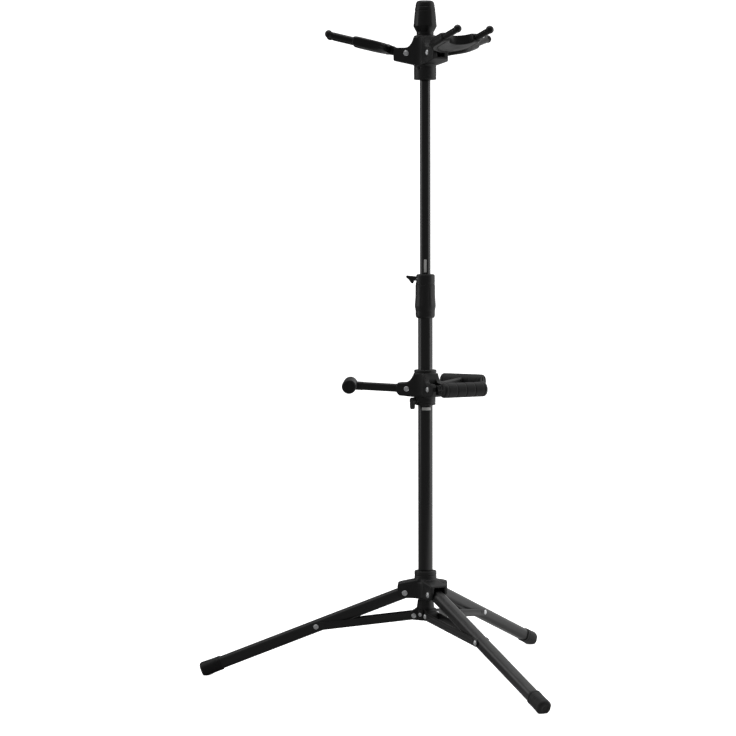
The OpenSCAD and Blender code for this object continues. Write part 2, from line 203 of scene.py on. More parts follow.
def lathe(profile, n=72, closed=False, fn=None):
    """Turns (r, z) points about Z. closed joins the last point to the first, for a ring. fn(theta, r, z) may move a point: returns r, z."""
    prof = [(float(r), float(z)) for r, z in profile]
    v, rows = [], []
    for r, z in prof:
        if r < 1e-6 and not closed:
            rows.append([len(v)])
            v.append((0, 0, z))
        else:
            row = []
            for k in range(n):
                t = 2 * PI * k / n
                rr, zz = (r, z) if fn is None else fn(t, r, z)
                row.append(len(v))
                v.append((rr * math.cos(t), rr * math.sin(t), zz))
            rows.append(row)
    f = []
    m = len(rows)
    for i in range(m if closed else m - 1):
        a, b = rows[i], rows[(i + 1) % m]
        if len(a) == 1 and len(b) == 1:
            continue
        for k in range(n):
            k2 = (k + 1) % n
            if len(a) == 1:
                f.append((a[0], b[k], b[k2]))
            elif len(b) == 1:
                f.append((a[k], b[0], a[k2]))
            else:
                f.append((a[k], b[k], b[k2], a[k2]))
    return np.array(v), f


def loft(rings, cap=True):
    """Joins equal-length rings of points. The caps are fans about the ring's centre."""
    m = len(rings[0])
    v = [np.asarray(r, float) for r in rings]
    f = []
    for i in range(len(rings) - 1):
        for k in range(m):
            k2 = (k + 1) % m
            f.append((i * m + k, i * m + k2, (i + 1) * m + k2, (i + 1) * m + k))
    allv = np.vstack(v)
    if cap:
        c0, c1 = v[0].mean(0), v[-1].mean(0)
        n = len(allv)
        allv = np.vstack([allv, c0, c1])
        last = (len(rings) - 1) * m
        for k in range(m):
            k2 = (k + 1) % m
            f.append((n, k2, k))
            f.append((n + 1, last + k, last + k2))
    return allv, f


def rrect(h, w, r, seg=6):
    """Rounded rectangle ring in the local Z (h) and Y (w) plane."""
    pts = []
    for cz, cy, a0 in ((h / 2 - r, w / 2 - r, 0), (-(h / 2 - r), w / 2 - r, 90), (-(h / 2 - r), -(w / 2 - r), 180), (h / 2 - r, -(w / 2 - r), 270)):
        for k in range(seg + 1):
            a = math.radians(a0 + 90 * k / seg)
            # angle 0 looks up Z, 90 along +Y then down
            dz, dy = math.cos(a), math.sin(a)
            pts.append((cz + r * dz, cy + r * dy))
    return np.array(pts)


def ring_x(zy, x):
    return np.stack([np.full(len(zy), float(x)), zy[:, 1], zy[:, 0]], -1)


def blend_ring(a, b, t):
    return a * (1 - t) + b * t


def circ(r, m, phase=0.0):
    """A circle in (z, y) with m points that line up with rrect's order."""
    t = np.linspace(0, 2 * PI, m, endpoint=False) + phase
    return np.stack([r * np.cos(t), r * np.sin(t)], -1)


def circ_like(ring, r):
    a = np.arctan2(ring[:, 1], ring[:, 0])
    return np.stack([r * np.cos(a), r * np.sin(a)], -1)


def sweep(path, radius, m=28, up=(0, 0, 1), squash=None):
    """A round section along a path of points, with a radius per point. Ends close by the radius falling to nothing."""
    path = np.asarray(path, float)
    n = len(path)
    tan = np.gradient(path, axis=0)
    tan /= np.linalg.norm(tan, axis=1)[:, None]
    up = np.array(up, float)
    rings = []
    for i in range(n):
        side = np.cross(up, tan[i])
        side /= np.linalg.norm(side)
        u = np.cross(tan[i], side)
        t = np.linspace(0, 2 * PI, m, endpoint=False)
        r = radius[i]
        rings.append(path[i] + np.outer(np.cos(t) * r, side) + np.outer(np.sin(t) * r, u))
    return loft(rings)


# ---------------------------------------------------------------- signed-distance modelling for the moulded pieces


def smin(a, b, k):
    if k <= 0:
        return np.minimum(a, b)
    h = np.clip(0.5 + 0.5 * (b - a) / k, 0, 1)
    return b * (1 - h) + a * h - k * h * (1 - h)


def smax(a, b, k):
    return -smin(-a, -b, k)


def sd_box(p, c, half, r=0.0):
    q = np.abs(p - np.array(c)) - (np.array(half) - r)
    return np.linalg.norm(np.maximum(q, 0), axis=-1) + np.minimum(q.max(-1), 0) - r


def sd_cyl(p, a, b, r, rd=0.0):
    """Capped cylinder from a to b."""
    a, b = np.array(a, float), np.array(b, float)
    ax = b - a
    length = np.linalg.norm(ax)
    ax /= length
    t = (p - a) @ ax
    rad = np.linalg.norm((p - a) - t[..., None] * ax, axis=-1)
    d1 = rad - (r - rd)
    d2 = np.abs(t - length / 2) - (length / 2 - rd)
    return np.minimum(np.maximum(d1, d2), 0) + np.hypot(np.maximum(d1, 0), np.maximum(d2, 0)) - rd


def sd_poly(x, y, poly):
    poly = [np.array(q, float) for q in poly]
    d = np.full(x.shape, 1e18)
    s = np.ones(x.shape)
    n = len(poly)
    for i in range(n):
        a, b = poly[i], poly[i - 1]
        e = b - a
        wx, wy = x - a[0], y - a[1]
        t = np.clip((wx * e[0] + wy * e[1]) / (e @ e), 0, 1)
        bx, by = wx - e[0] * t, wy - e[1] * t
        d = np.minimum(d, bx * bx + by * by)
        c1, c2, c3 = y >= a[1], y < b[1], e[0] * wy > e[1] * wx
        flip = (c1 & c2 & c3) | (~c1 & ~c2 & ~c3)
        s = np.where(flip, -s, s)
    return s * np.sqrt(d)


def sd_slab(p, poly, half, rd=0.0):
    """An X-Z outline extruded both ways along Y, with rounded edges."""
    d1 = sd_poly(p[..., 0], p[..., 2], poly) + rd
    d2 = np.abs(p[..., 1]) - half + rd
    return np.minimum(np.maximum(d1, d2), 0) + np.hypot(np.maximum(d1, 0), np.maximum(d2, 0)) - rd


def sd_rev(p, poly, rd=0.0, c=(0, 0)):
    """An (r, z) outline turned about Z."""
    r = np.hypot(p[..., 0] - c[0], p[..., 1] - c[1])
    return sd_poly(r, p[..., 2], poly)


def local(p, az, pivot=(0, 0, 0), drop=0.0):
    """Row frame points to a spoke's local frame, the inverse of place()."""
    return roty(rotz(p, -az) - np.array(pivot, float), -drop)


def surface(fn, lo, hi, h, project=2):
    """Surface nets on fn < 0, then the points slide onto the true surface."""
    lo, hi = np.array(lo, float), np.array(hi, float)
    n = np.ceil((hi - lo) / h).astype(int) + 1
    ax = [lo[k] + h * np.arange(n[k]) for k in range(3)]
    D = np.empty(tuple(n), np.float32)
    step = max(1, int(400000 / (n[1] * n[2])))
    for i in range(0, n[0], step):
        g = np.stack(np.meshgrid(ax[0][i:i + step], ax[1], ax[2], indexing="ij"), -1)
        D[i:i + step] = fn(g)
    D[np.abs(D) < 1e-6] = 1e-6
    ins = D < 0
    c = [ins[i:n[0] - 1 + i, j:n[1] - 1 + j, k:n[2] - 1 + k] for i, j, k in itertools.product((0, 1), repeat=3)]
    s = sum(x.astype(np.int8) for x in c)
    act = (s > 0) & (s < 8)
    idx = -np.ones(act.shape, np.int64)
    I, J, K = np.nonzero(act)
    idx[I, J, K] = np.arange(len(I))
    acc, cnt = np.zeros((len(I), 3)), np.zeros(len(I))
    for a in itertools.product((0, 1), repeat=3):
        for k in range(3):
            if a[k]:
                continue
            b = list(a)
            b[k] = 1
            da = D[I + a[0], J + a[1], K + a[2]].astype(float)
            db = D[I + b[0], J + b[1], K + b[2]].astype(float)
            m = (da < 0) != (db < 0)
            t = da[m] / (da[m] - db[m])
            q = np.tile(np.array(a, float), (m.sum(), 1))
            q[:, k] += t
            acc[m] += q
            cnt[m] += 1
    v = lo + h * (acc / cnt[:, None] + np.stack([I, J, K], -1))
    faces = []
    for k in range(3):
        u, w = [(1, 2), (2, 0), (0, 1)][k]
        sl = [slice(None)] * 3
        sa, sb = list(sl), list(sl)
        sa[k], sb[k] = slice(0, n[k] - 1), slice(1, n[k])
        A, B = ins[tuple(sa)], ins[tuple(sb)]
        ch = A != B
        P = np.stack(np.nonzero(ch), -1)
        P = P[(P[:, u] > 0) & (P[:, w] > 0) & (P[:, u] < n[u] - 1) & (P[:, w] < n[w] - 1)]
        first = A[P[:, 0], P[:, 1], P[:, 2]]
        du, dw = np.zeros(3, int), np.zeros(3, int)
        du[u], dw[w] = 1, 1
        q = [P - du - dw, P - dw, P, P - du]
        quad = np.stack([idx[r[:, 0], r[:, 1], r[:, 2]] for r in q], -1)
        quad[~first] = quad[~first][:, ::-1]
        faces.append(quad)
    faces = np.vstack(faces)
    e = 0.02
    for _ in range(project):
        d = fn(v)
        g = np.stack([(fn(v + dv) - fn(v - dv)) / (2 * e) for dv in np.eye(3) * e], -1)
        g /= np.maximum(np.linalg.norm(g, axis=1), 0.3)[:, None]
        move = -d[:, None] * g
        lim = 0.6 * h
        ln = np.linalg.norm(move, axis=1)
        move *= np.minimum(1, lim / np.maximum(ln, 1e-9))[:, None]
        v = v + move
    return v, faces.tolist()


# ---------------------------------------------------------------- materials, all node-based, scales in metres


def nodes_for(name):
    m = bpy.data.materials.new(name)
    m.use_nodes = True
    nt = m.node_tree
    nt.nodes.clear()
    out = nt.nodes.new("ShaderNodeOutputMaterial")
    bs = nt.nodes.new("ShaderNodeBsdfPrincipled")
    nt.links.new(bs.outputs[0], out.inputs[0])
    co = nt.nodes.new("ShaderNodeTexCoord")
    return m, nt, bs, co.outputs["Object"]


def noise(nt, vec, scale, detail=3.0, rough=0.5, stretch=None):
    if stretch:
        mp = nt.nodes.new("ShaderNodeMapping")
        mp.inputs["Scale"].default_value = stretch
        nt.links.new(vec, mp.inputs[0])
        vec = mp.outputs[0]
    n = nt.nodes.new("ShaderNodeTexNoise")
    n.inputs["Scale"].default_value = scale
    n.inputs["Detail"].default_value = detail
    n.inputs["Roughness"].default_value = rough
    nt.links.new(vec, n.inputs["Vector"])
    return n.outputs["Fac"]


def ramp(nt, fac, p0, p1, c0, c1):
    r = nt.nodes.new("ShaderNodeValToRGB")
    r.color_ramp.elements[0].position = p0
    r.color_ramp.elements[1].position = p1
    r.color_ramp.elements[0].color = (*c0, 1) if len(c0) == 3 else c0
    r.color_ramp.elements[1].color = (*c1, 1) if len(c1) == 3 else c1
    nt.links.new(fac, r.inputs[0])
    return r.outputs[0]


def grey(x):
    return (x, x, x)


def mix(nt, fac, a, b):
    m = nt.nodes.new("ShaderNodeMix")
    m.data_type = "RGBA"
    for sock, val in ((m.inputs[0], fac), (m.inputs[6], a), (m.inputs[7], b)):
        if isinstance(val, (int, float)):
            sock.default_value = val
        elif isinstance(val, tuple):
            sock.default_value = (*val, 1) if len(val) == 3 else val
        else:
            nt.links.new(val, sock)
    return m.outputs[2]


def bump(nt, bs, layers):
    last = None
    for height, strength, dist in layers:
        b = nt.nodes.new("ShaderNodeBump")
        b.inputs["Strength"].default_value = strength
        b.inputs["Distance"].default_value = dist
        nt.links.new(height, b.inputs["Height"])
        if last:
            nt.links.new(last, b.inputs["Normal"])
        last = b.outputs[0]
    nt.links.new(last, bs.inputs["Normal"])


def worn_edges(nt, lo=0.52, hi=0.60):
    g = nt.nodes.new("ShaderNodeNewGeometry")
    return ramp(nt, g.outputs["Pointiness"], lo, hi, grey(0), grey(1))


def mat_tube(name, base=0.018, rough=0.33, axis="z"):
    """Satin powder coat: fine orange peel, faint lengthwise drawing marks, slow change in sheen."""
    m, nt, bs, co = nodes_for(name)
    slow = noise(nt, co, 22, 3)
    peel = noise(nt, co, 1500, 2, 0.45)
    st = {"z": (1, 1, 0.04), "x": (0.04, 1, 1)}[axis]
    draw = noise(nt, co, 900, 2, 0.5, st)
    rub = ramp(nt, noise(nt, co, 60, 5, 0.62), 0.66, 0.80, grey(0), grey(1))
    nt.links.new(mix(nt, slow, (base, base, base * 1.04), (base * 1.6, base * 1.6, base * 1.62)), bs.inputs["Base Color"])
    r = mix(nt, slow, grey(rough - 0.04), grey(rough + 0.07))
    nt.links.new(mix(nt, rub, r, grey(rough - 0.07)), bs.inputs["Roughness"])
    bs.inputs["Specular IOR Level"].default_value = 0.55
    bs.inputs["Coat Weight"].default_value = 0.12
    bs.inputs["Coat Roughness"].default_value = 0.25
    bump(nt, bs, [(peel, 0.22, 0.00012), (draw, 0.10, 0.00008)])
    return m


def mat_plastic(name, base=0.02, rough=0.5, grain=1700, depth=0.00010, edge=1.9, tint=(1, 1, 1.03)):
    """Moulded plastic: spark-eroded grain, slow sheen change, polished edges where hands rub."""
    m, nt, bs, co = nodes_for(name)
    slow = noise(nt, co, 45, 4)
    fine = noise(nt, co, grain, 3, 0.6)
    v = nt.nodes.new("ShaderNodeTexVoronoi")
    v.inputs["Scale"].default_value = grain * 0.62
    nt.links.new(co, v.inputs["Vector"])
    w = worn_edges(nt)
    c = tuple(base * t for t in tint)
    body = mix(nt, slow, c, tuple(x * 1.5 for x in c))
    nt.links.new(mix(nt, w, body, tuple(x * edge for x in c)), bs.inputs["Base Color"])
    r = mix(nt, slow, grey(rough - 0.05), grey(rough + 0.08))
    nt.links.new(mix(nt, w, r, grey(rough - 0.14)), bs.inputs["Roughness"])
    bs.inputs["Specular IOR Level"].default_value = 0.5
    bump(nt, bs, [(fine, 0.35, depth), (v.outputs["Distance"], 0.18, depth)])
    return m


def mat_rubber(name, base=0.02, rough=0.68, grain=1300, depth=0.00016, sheen=0.25):
    """Soft rubber: matt, dusty bloom in random patches, fine skin grain."""
    m, nt, bs, co = nodes_for(name)
    slow = noise(nt, co, 60, 5, 0.6)
    fine = noise(nt, co, grain, 4, 0.65)
    bloom = ramp(nt, noise(nt, co, 26, 4, 0.55), 0.42, 0.72, grey(0), grey(1))
    c = (base, base, base)
    a = mix(nt, slow, c, tuple(x * 1.7 for x in c))
    nt.links.new(mix(nt, bloom, a, tuple(x * 1.45 for x in c)), bs.inputs["Base Color"])
    nt.links.new(mix(nt, bloom, grey(rough - 0.08), grey(rough + 0.1)), bs.inputs["Roughness"])
    bs.inputs["Specular IOR Level"].default_value = 0.38
    bs.inputs["Sheen Weight"].default_value = sheen
    bs.inputs["Sheen Roughness"].default_value = 0.5
    bs.inputs["Sheen Tint"].default_value = (0.5, 0.5, 0.52, 1)
    bump(nt, bs, [(fine, 0.4, depth), (slow, 0.12, 0.0003)])
    return m


def mat_steel(name, base=(0.83, 0.84, 0.86), rough=0.16, scratch=0.5):
    """Bright plated steel with fine tool marks and faint stains."""
    m, nt, bs, co = nodes_for(name)
    slow = noise(nt, co, 260, 4)
    fine = noise(nt, co, 3800, 2, 0.5, (1, 0.3, 1))
    nt.links.new(mix(nt, slow, tuple(x * 0.86 for x in base), base), bs.inputs["Base Color"])
    nt.links.new(mix(nt, slow, grey(rough), grey(rough + 0.14)), bs.inputs["Roughness"])
    bs.inputs["Metallic"].default_value = 1.0
    bump(nt, bs, [(fine, 0.12 * scratch, 0.00005)])
    return m


def mat_nylon(name):
    m, nt, bs, co = nodes_for(name)
    slow = noise(nt, co, 90, 4)
    fine = noise(nt, co, 1600, 2)
    nt.links.new(mix(nt, slow, (0.50, 0.49, 0.44), (0.60, 0.59, 0.54)), bs.inputs["Base Color"])
    bs.inputs["Roughness"].default_value = 0.45
    bs.inputs["Subsurface Weight"].default_value = 0.15
    bs.inputs["Subsurface Scale"].default_value = 0.002
    bump(nt, bs, [(fine, 0.2, 0.0001)])
    return m


def mat_mark(name):
    """Worn pale print."""
    m, nt, bs, co = nodes_for(name)
    chip = ramp(nt, noise(nt, co, 900, 5, 0.7), 0.30, 0.38, grey(0), grey(1))
    nt.links.new(mix(nt, chip, (0.30, 0.30, 0.29), (0.74, 0.74, 0.72)), bs.inputs["Base Color"])
    bs.inputs["Roughness"].default_value = 0.55
    bump(nt, bs, [(chip, 0.2, 0.00003)])
    return m


M_TUBE = mat_tube("satin_tube", base=0.003, rough=0.27)
M_LEG = mat_tube("satin_leg", base=0.0035, rough=0.33)
M_HUB = mat_plastic("hub_moulding", base=0.0062, rough=0.48)
M_CLUTCH = mat_plastic("clutch_moulding", base=0.0055, rough=0.44, grain=1500)
M_ARM = mat_plastic("arm_moulding", base=0.0050, rough=0.42, grain=1600)
M_GRIP = mat_rubber("grip_rubber_skin", base=0.0025, rough=0.45, grain=1900, depth=0.00008, sheen=0.0)
M_PAD = mat_rubber("pad_rubber_skin", base=0.007, rough=0.55, sheen=0.04)
M_CRES = mat_rubber("crescent_rubber_skin", base=0.004, rough=0.36, depth=0.00007, sheen=0.0)
M_FOOT = mat_rubber("foot_rubber_skin", base=0.003, rough=0.5, grain=1100, sheen=0.02)
M_BAR = mat_tube("coated_steel", base=0.0035, rough=0.34)
M_RIVET = mat_steel("nickel_plate", base=(0.80, 0.81, 0.82), rough=0.36)
M_DARKSTEEL = mat_steel("blackened_steel", base=(0.05, 0.05, 0.052), rough=0.38)
M_STEEL = mat_steel("zinc_plate", base=(0.60, 0.61, 0.63), rough=0.32, scratch=1.0)
M_NYLON = mat_nylon("natural_nylon")
M_MARK = mat_mark("pale_mark")

# ---------------------------------------------------------------- pole


def ring_tube(r, ri, z0, z1, lip=0.35, n=96):
    prof = fillet([(r, z0), (r, z1), (ri, z1), (ri, z0)], lip, 3)
    return lathe(prof, n, closed=True)


lo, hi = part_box("lower_tube")
TUBE_R = (hi[0] - lo[0]) * 500
T0, T1 = lo[2] * 1000, hi[2] * 1000
make("lower_pole_tube", ring_tube(TUBE_R, TUBE_R - 1.2, T0, T1), M_TUBE, "base", ["lower_tube"])

lo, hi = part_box("upper_tube")
POST_R = (hi[0] - lo[0]) * 500
P0, P1 = lo[2] * 1000, hi[2] * 1000
make("upper_pole_tube", ring_tube(POST_R, POST_R - 1.2, P0, P1), M_TUBE, "post", ["upper_tube"])


def densify(points, step, closed=True):
    out = []
    n = len(points)
    for i in range(n if closed else n - 1):
        a, b = np.array(points[i], float), np.array(points[(i + 1) % n], float)
        k = max(1, int(np.linalg.norm(b - a) / step))
        out += [a + (b - a) * j / k for j in range(k)]
    if not closed:
        out.append(np.array(points[-1], float))
    return out


def mark_patch(r, a0, a1, z0, z1, t=0.08, corner=0.9):
    """A thin curved patch with rounded corners on a tube."""
    h, w = z1 - z0, math.radians(a1 - a0) * r
    out = densify(fillet([(-w / 2, -h / 2), (w / 2, -h / 2), (w / 2, h / 2), (-w / 2, h / 2)], corner, 5), 1.2)
    am = math.radians((a0 + a1) / 2)
    rings = []
    # concentric copies of the outline keep the patch on the curve
    for s, rr in ((1.0, r - 0.1), (1.0, r + t * 0.6), (0.985, r + t), (0.75, r + t), (0.5, r + t), (0.25, r + t), (0.03, r + t)):
        pts = []
        for x, y in out:
            a = am + x * s / r
            pts.append((rr * math.cos(a), rr * math.sin(a), (z0 + z1) / 2 + y * s))
        rings.append(np.array(pts))
    inner = []
    for s in (0.75, 0.5, 0.25, 0.03):
        pts = []
        for x, y in out:
            a = am + x * s / r
            pts.append(((r - 0.1) * math.cos(a), (r - 0.1) * math.sin(a), (z0 + z1) / 2 + y * s))
        inner.append(np.array(pts))
    return loft(inner[::-1] + rings)


lo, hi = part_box("height_mark_lower")
make("lower_height_mark", mark_patch(TUBE_R, -118, -42, lo[2] * 1000, hi[2] * 1000), M_MARK, "base", ["height_mark_lower"])
lo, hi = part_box("height_mark_upper")
make("upper_height_mark", mark_patch(POST_R, -104, -76, lo[2] * 1000, hi[2] * 1000), M_MARK, "post", ["height_mark_upper"])

lo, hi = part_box("tube_end_plug")
pz0, pz1, pr = lo[2] * 1000, hi[2] * 1000, (hi[0] - lo[0]) * 500
prof = fillet([(0.0, pz0 + 1.6), (pr - 3.0, pz0 + 1.6), (pr - 2.0, pz0), (pr, pz0), (pr, pz1), (0.0, pz1)], [0, 0.5, 0.5, 0.5, 0.6, 0], 3, closed=False)
make("pole_end_plug", lathe([(0, pz0 + 1.6)] + [tuple(p) for p in prof[1:-1]] + [(0, pz1)], 64), M_CLUTCH, "base", ["tube_end_plug"])

# ---------------------------------------------------------------- fasteners


def head_profile(hr, ht, z0):
    """Outer edge to centre of a domed rivet head with the small dimple a rolling tool leaves."""
    return [(hr, z0), (hr * 1.0, z0 + 0.24 * ht), (0.95 * hr, z0 + 0.44 * ht), (0.84 * hr, z0 + 0.66 * ht), (0.66 * hr, z0 + 0.86 * ht),
            (0.46 * hr, z0 + 0.97 * ht), (0.34 * hr, z0 + ht), (0.26 * hr, z0 + 0.97 * ht), (0.2 * hr, z0 + 0.84 * ht), (0.1 * hr, z0 + 0.78 * ht), (0, z0 + 0.77 * ht)]


def rivet(r, half, hr, ht, n=40):
    up = [(r, half)] + head_profile(hr, ht, half)
    dn = [(a, -b) for a, b in up][::-1]
    v, f = lathe(dn + up, n)
    return np.stack([v[:, 0], v[:, 2], v[:, 1]], -1), f


def rivets(name, node, body, r, half, hr, ht, pr_, pz_, extra=None):
    g = Geo()
    for az in AZ.values():
        g.join(rivet(r, half, hr, ht), lambda v: rotz(v + np.array([pr_, 0, pz_]), az))
    make(name, g.out, M_RIVET, body, [node], smooth=50)


def half_y(node_left):
    lo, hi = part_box(node_left)
    return max(-lo[1], hi[1]) * 1000


rivets("leg_pivot_rivets", "leg_pivot_pins", "leg_slider", 3.0, 15.55, 4.9, 2.0, leg_r, leg_z)
rivets("strut_pivot_rivets", "strut_pivot_pins", "base", 2.5, 12.23, 4.3, 1.8, q_r, q_z)
rivets("arm_pivot_rivets", "arm_pivot_pins", "collar", 2.48, 14.05, 4.6, 1.8, arm_r, arm_z)
rivets("yoke_pivot_rivets", "yoke_pivot_pins", "post", 2.48, 14.55, 4.6, 1.8, yoke_r, yoke_z)


def half_rivet(sgn):
    """The strut's rivet: a head outside the bar and a short shank inside its hole."""
    prof = [(0, 0.0), (2.3, 0.0), (2.5, 0.2), (2.5, 2.0)] + head_profile(4.4, 1.6, 2.0)
    v, f = lathe(prof, 40)
    v = np.stack([v[:, 0], sgn * v[:, 2], v[:, 1]], -1)
    return v + np.array([0, sgn * 10.19, 0]), f


for who, az in AZ.items():
    g = Geo()
    for s in (-1, 1):
        g.join(half_rivet(s), lambda v: rotz(v + np.array([s_r, 0, s_z]), az))
    make(f"strut_rivet_heads_{who}", g.out, M_RIVET, f"strut_{who}", [f"strut_rivets_{who}"], smooth=50)


def cross_screw(hr, ht, shank_r, shank_l, h=0.22):
    """Pan-head screw along +X with a cross recess; the head's seat is at x = 0."""
    def fn(p):
        x = p[..., 0]
        r = np.hypot(p[..., 1], p[..., 2])
        ball = (hr * hr + ht * ht) / (2 * ht)
        dome = np.sqrt((x - (ht - ball)) ** 2 + r * r) - ball
        head = smax(smax(dome, r - hr, 0.4), -x, 0.15)
        shank = np.maximum(r - shank_r, np.maximum(x - 0.3, -shank_l - x))
        d = np.minimum(head, shank)
        y, z = np.abs(p[..., 1]), np.abs(p[..., 2])
        deep = x - (ht - 1.0 - 0.35 * r)
        a = np.maximum(np.minimum(np.maximum(y - 0.42, z - 1.9), np.maximum(z - 0.42, y - 1.9)), -deep)
        return smax(d, -a, 0.12)
    return surface(fn, (-shank_l - 0.6, -hr - 0.6, -hr - 0.6), (ht + 0.6, hr + 0.6, hr + 0.6), h)


screw = cross_screw(3.6, 1.8, 2.0, 7.1, 0.3)
g = Geo()
for a in (-120, 0, 120):
    g.join(screw, lambda v: rotz(v + np.array([18.5, 0, 108.0]), a))
make("hub_fixing_screws", g.out, M_RIVET, "base", ["strut_hub_screws"], smooth=40)

# ---------------------------------------------------------------- moulded hubs


def fold3(p, az0=180.0):
    """Every spoke's frame at once: the part repeats each 120 degrees."""
    a = np.arctan2(p[..., 1], p[..., 0]) - math.radians(az0)
    a = (a + PI / 3) % (2 * PI / 3) - PI / 3
    r = np.hypot(p[..., 0], p[..., 1])
    return np.stack([r * np.cos(a), r * np.sin(a), p[..., 2]], -1)


def sd_ycyl(q, x, z, r, half, rd=0.0):
    d1 = np.hypot(q[..., 0] - x, q[..., 2] - z) - (r - rd)
    d2 = np.abs(q[..., 1]) - (half - rd)
    return np.minimum(np.maximum(d1, d2), 0) + np.hypot(np.maximum(d1, 0), np.maximum(d2, 0)) - rd


def shift_poly(poly, z):
    return [(a, b + z) for a, b in poly]


def leg_hub_fn(p):
    z = leg_z
    q = fold3(p)
    r = np.hypot(p[..., 0], p[..., 1])
    core = sd_cyl(p, (0, 0, z - 9), (0, 0, z + 18), 21, 1.6)
    collar = sd_cyl(p, (0, 0, z), (0, 0, z + 37.2), 19, 1.5)
    d = smin(core, collar, 2.0)
    hood = sd_slab(q, shift_poly([(12, -9), (37, -9), (42.0, -6.4), (45.8, -2.0), (47.6, 4), (47.6, 11.6), (46.6, 14.6), (44.2, 16.6), (40.0, 18.0), (12, 23.5)], z), 15.5, 2.6)
    d = smin(d, hood, 3.2)
    lip = sd_slab(q, shift_poly([(44.8, 1), (47.9, 2), (47.9, 11.8), (46.9, 15.0), (44.8, 16.6)], z), 15.9, 1.0)
    d = smin(d, lip, 1.0)
    d = smin(d, sd_ycyl(q, leg_r, z, 7.4, 15.9, 0.5), 0.8)
    # hollow in each cheek between boss and core
    pocket = sd_slab(q, shift_poly([(22.5, -3), (27.2, -3), (29.4, 4), (33, 10.5), (36, 13.2), (22.5, 16.2)], z), 30, 0.8)
    d = smax(d, -np.maximum(pocket, 14.75 - np.abs(q[..., 1])), 0.5)
    # collar ring groove, then the slots the legs sit in and the bore
    d = smax(d, -(np.hypot(r - 19.3, p[..., 2] - (z + 29.5)) - 0.9), 0.4)
    slot = np.maximum(sd_poly(q[..., 0], q[..., 2], shift_poly([(21.6, -40), (90, -40), (90, 4.8), (21.6, 18)], z)), np.abs(q[..., 1]) - 10.4)
    d = smax(d, -slot, 0.5)
    d = smax(d, -(r - (TUBE_R + 0.06)), 0.3)
    return d


def strut_hub_fn(p):
    q = fold3(p)
    r = np.hypot(p[..., 0], p[..., 1])
    d = sd_cyl(p, (0, 0, 97.8), (0, 0, 117), 18.5, 1.2)
    cone = np.maximum(r - (15.4 - (p[..., 2] - 117) * 0.133), np.abs(p[..., 2] - 122) - 10) * 0.98
    d = smin(d, cone, 1.6)
    lug = sd_slab(q, [(5, 97.8), (q_r + 1, 97.8), (q_r + 5.6, 100.6), (q_r + 7.2, 105.7), (q_r + 5.6, 110.8), (q_r + 1, 113.6), (14, 117), (5, 117)], 10.0, 1.0)
    d = smin(d, lug, 1.5)
    for a in (-120, 0, 120):
        s = rotz(p, -a)
        d = smin(d, sd_cyl(s, (14, 0, 108), (18.55, 0, 108), 5.2, 0.6), 0.8)
    d = smax(d, -np.maximum(np.maximum(12.75 - q[..., 0], np.abs(np.abs(q[..., 1]) - 11.4) - 1.35), -10), 0.4)
    d = smax(d, -np.maximum(r - (TUBE_R + 0.04), 98.9 - p[..., 2]), 0.2)
    d = smax(d, -(r - 9.5), 0.4)
    return d


def collar_fn(p):
    z = arm_z
    c = COLLAR_Z
    q = fold3(p)
    r = np.hypot(p[..., 0], p[..., 1])
    d = sd_rev(p, fillet([(-5, c), (17.5, c), (17.5, c + 14), (19.2, c + 18), (19.2, c + 60.4), (-5, c + 60.4)], 1.3, 3))
    lug = sd_slab(q, fillet(shift_poly([(5, -14), (20, -14), (44.5, -11.3), (48.6, -7), (50, -3), (50, 4), (47, 9.2),
        (42, 10), (34, 10.2), (30.4, 10.8), (26.8, 13.2), (23.8, 17), (21.4, 21.6), (19.6, 25.5), (5, 25.5)], z), 0.6, 2), 14.0, 1.3)
    d = smin(d, lug, 2.6)
    d = smin(d, sd_ycyl(q, arm_r, z, 7.0, 14.4, 0.4), 0.7)
    s = rotz(p, 150) - np.array([0, 0, CLAMP_P[2]])
    d = smin(d, sd_cyl(s, (10, 0, 0), (20.4, 0, 0), 6.2, 0.9), 1.8)
    # top ring groove, foot ring
    d = smax(d, -(np.hypot(r - 19.5, p[..., 2] - (c + 55.5)) - 0.8), 0.4)
    d = smax(d, -(np.hypot(r - 17.8, p[..., 2] - (c + 4.5)) - 0.7), 0.3)
    # the saw-cut that would let the collar close when clamped is computed but not cut; then the arm slots, the clamp
    # screw's hole and the bore
    cut = np.maximum(np.abs(s[..., 1]) - 0.6, np.maximum(s[..., 2] + 2.0, 8 - s[..., 0]))
    slot = np.maximum(np.maximum(24 - q[..., 0], (z - 7.5) - p[..., 2]), np.abs(q[..., 1]) - 7.2)
    d = smax(d, -slot, 0.5)
    d = smax(d, -np.maximum(np.hypot(s[..., 1], s[..., 2]) - 3.0, -s[..., 0]), 0.2)
    d = smax(d, -(r - (TUBE_R + 0.06)), 0.3)
    return d


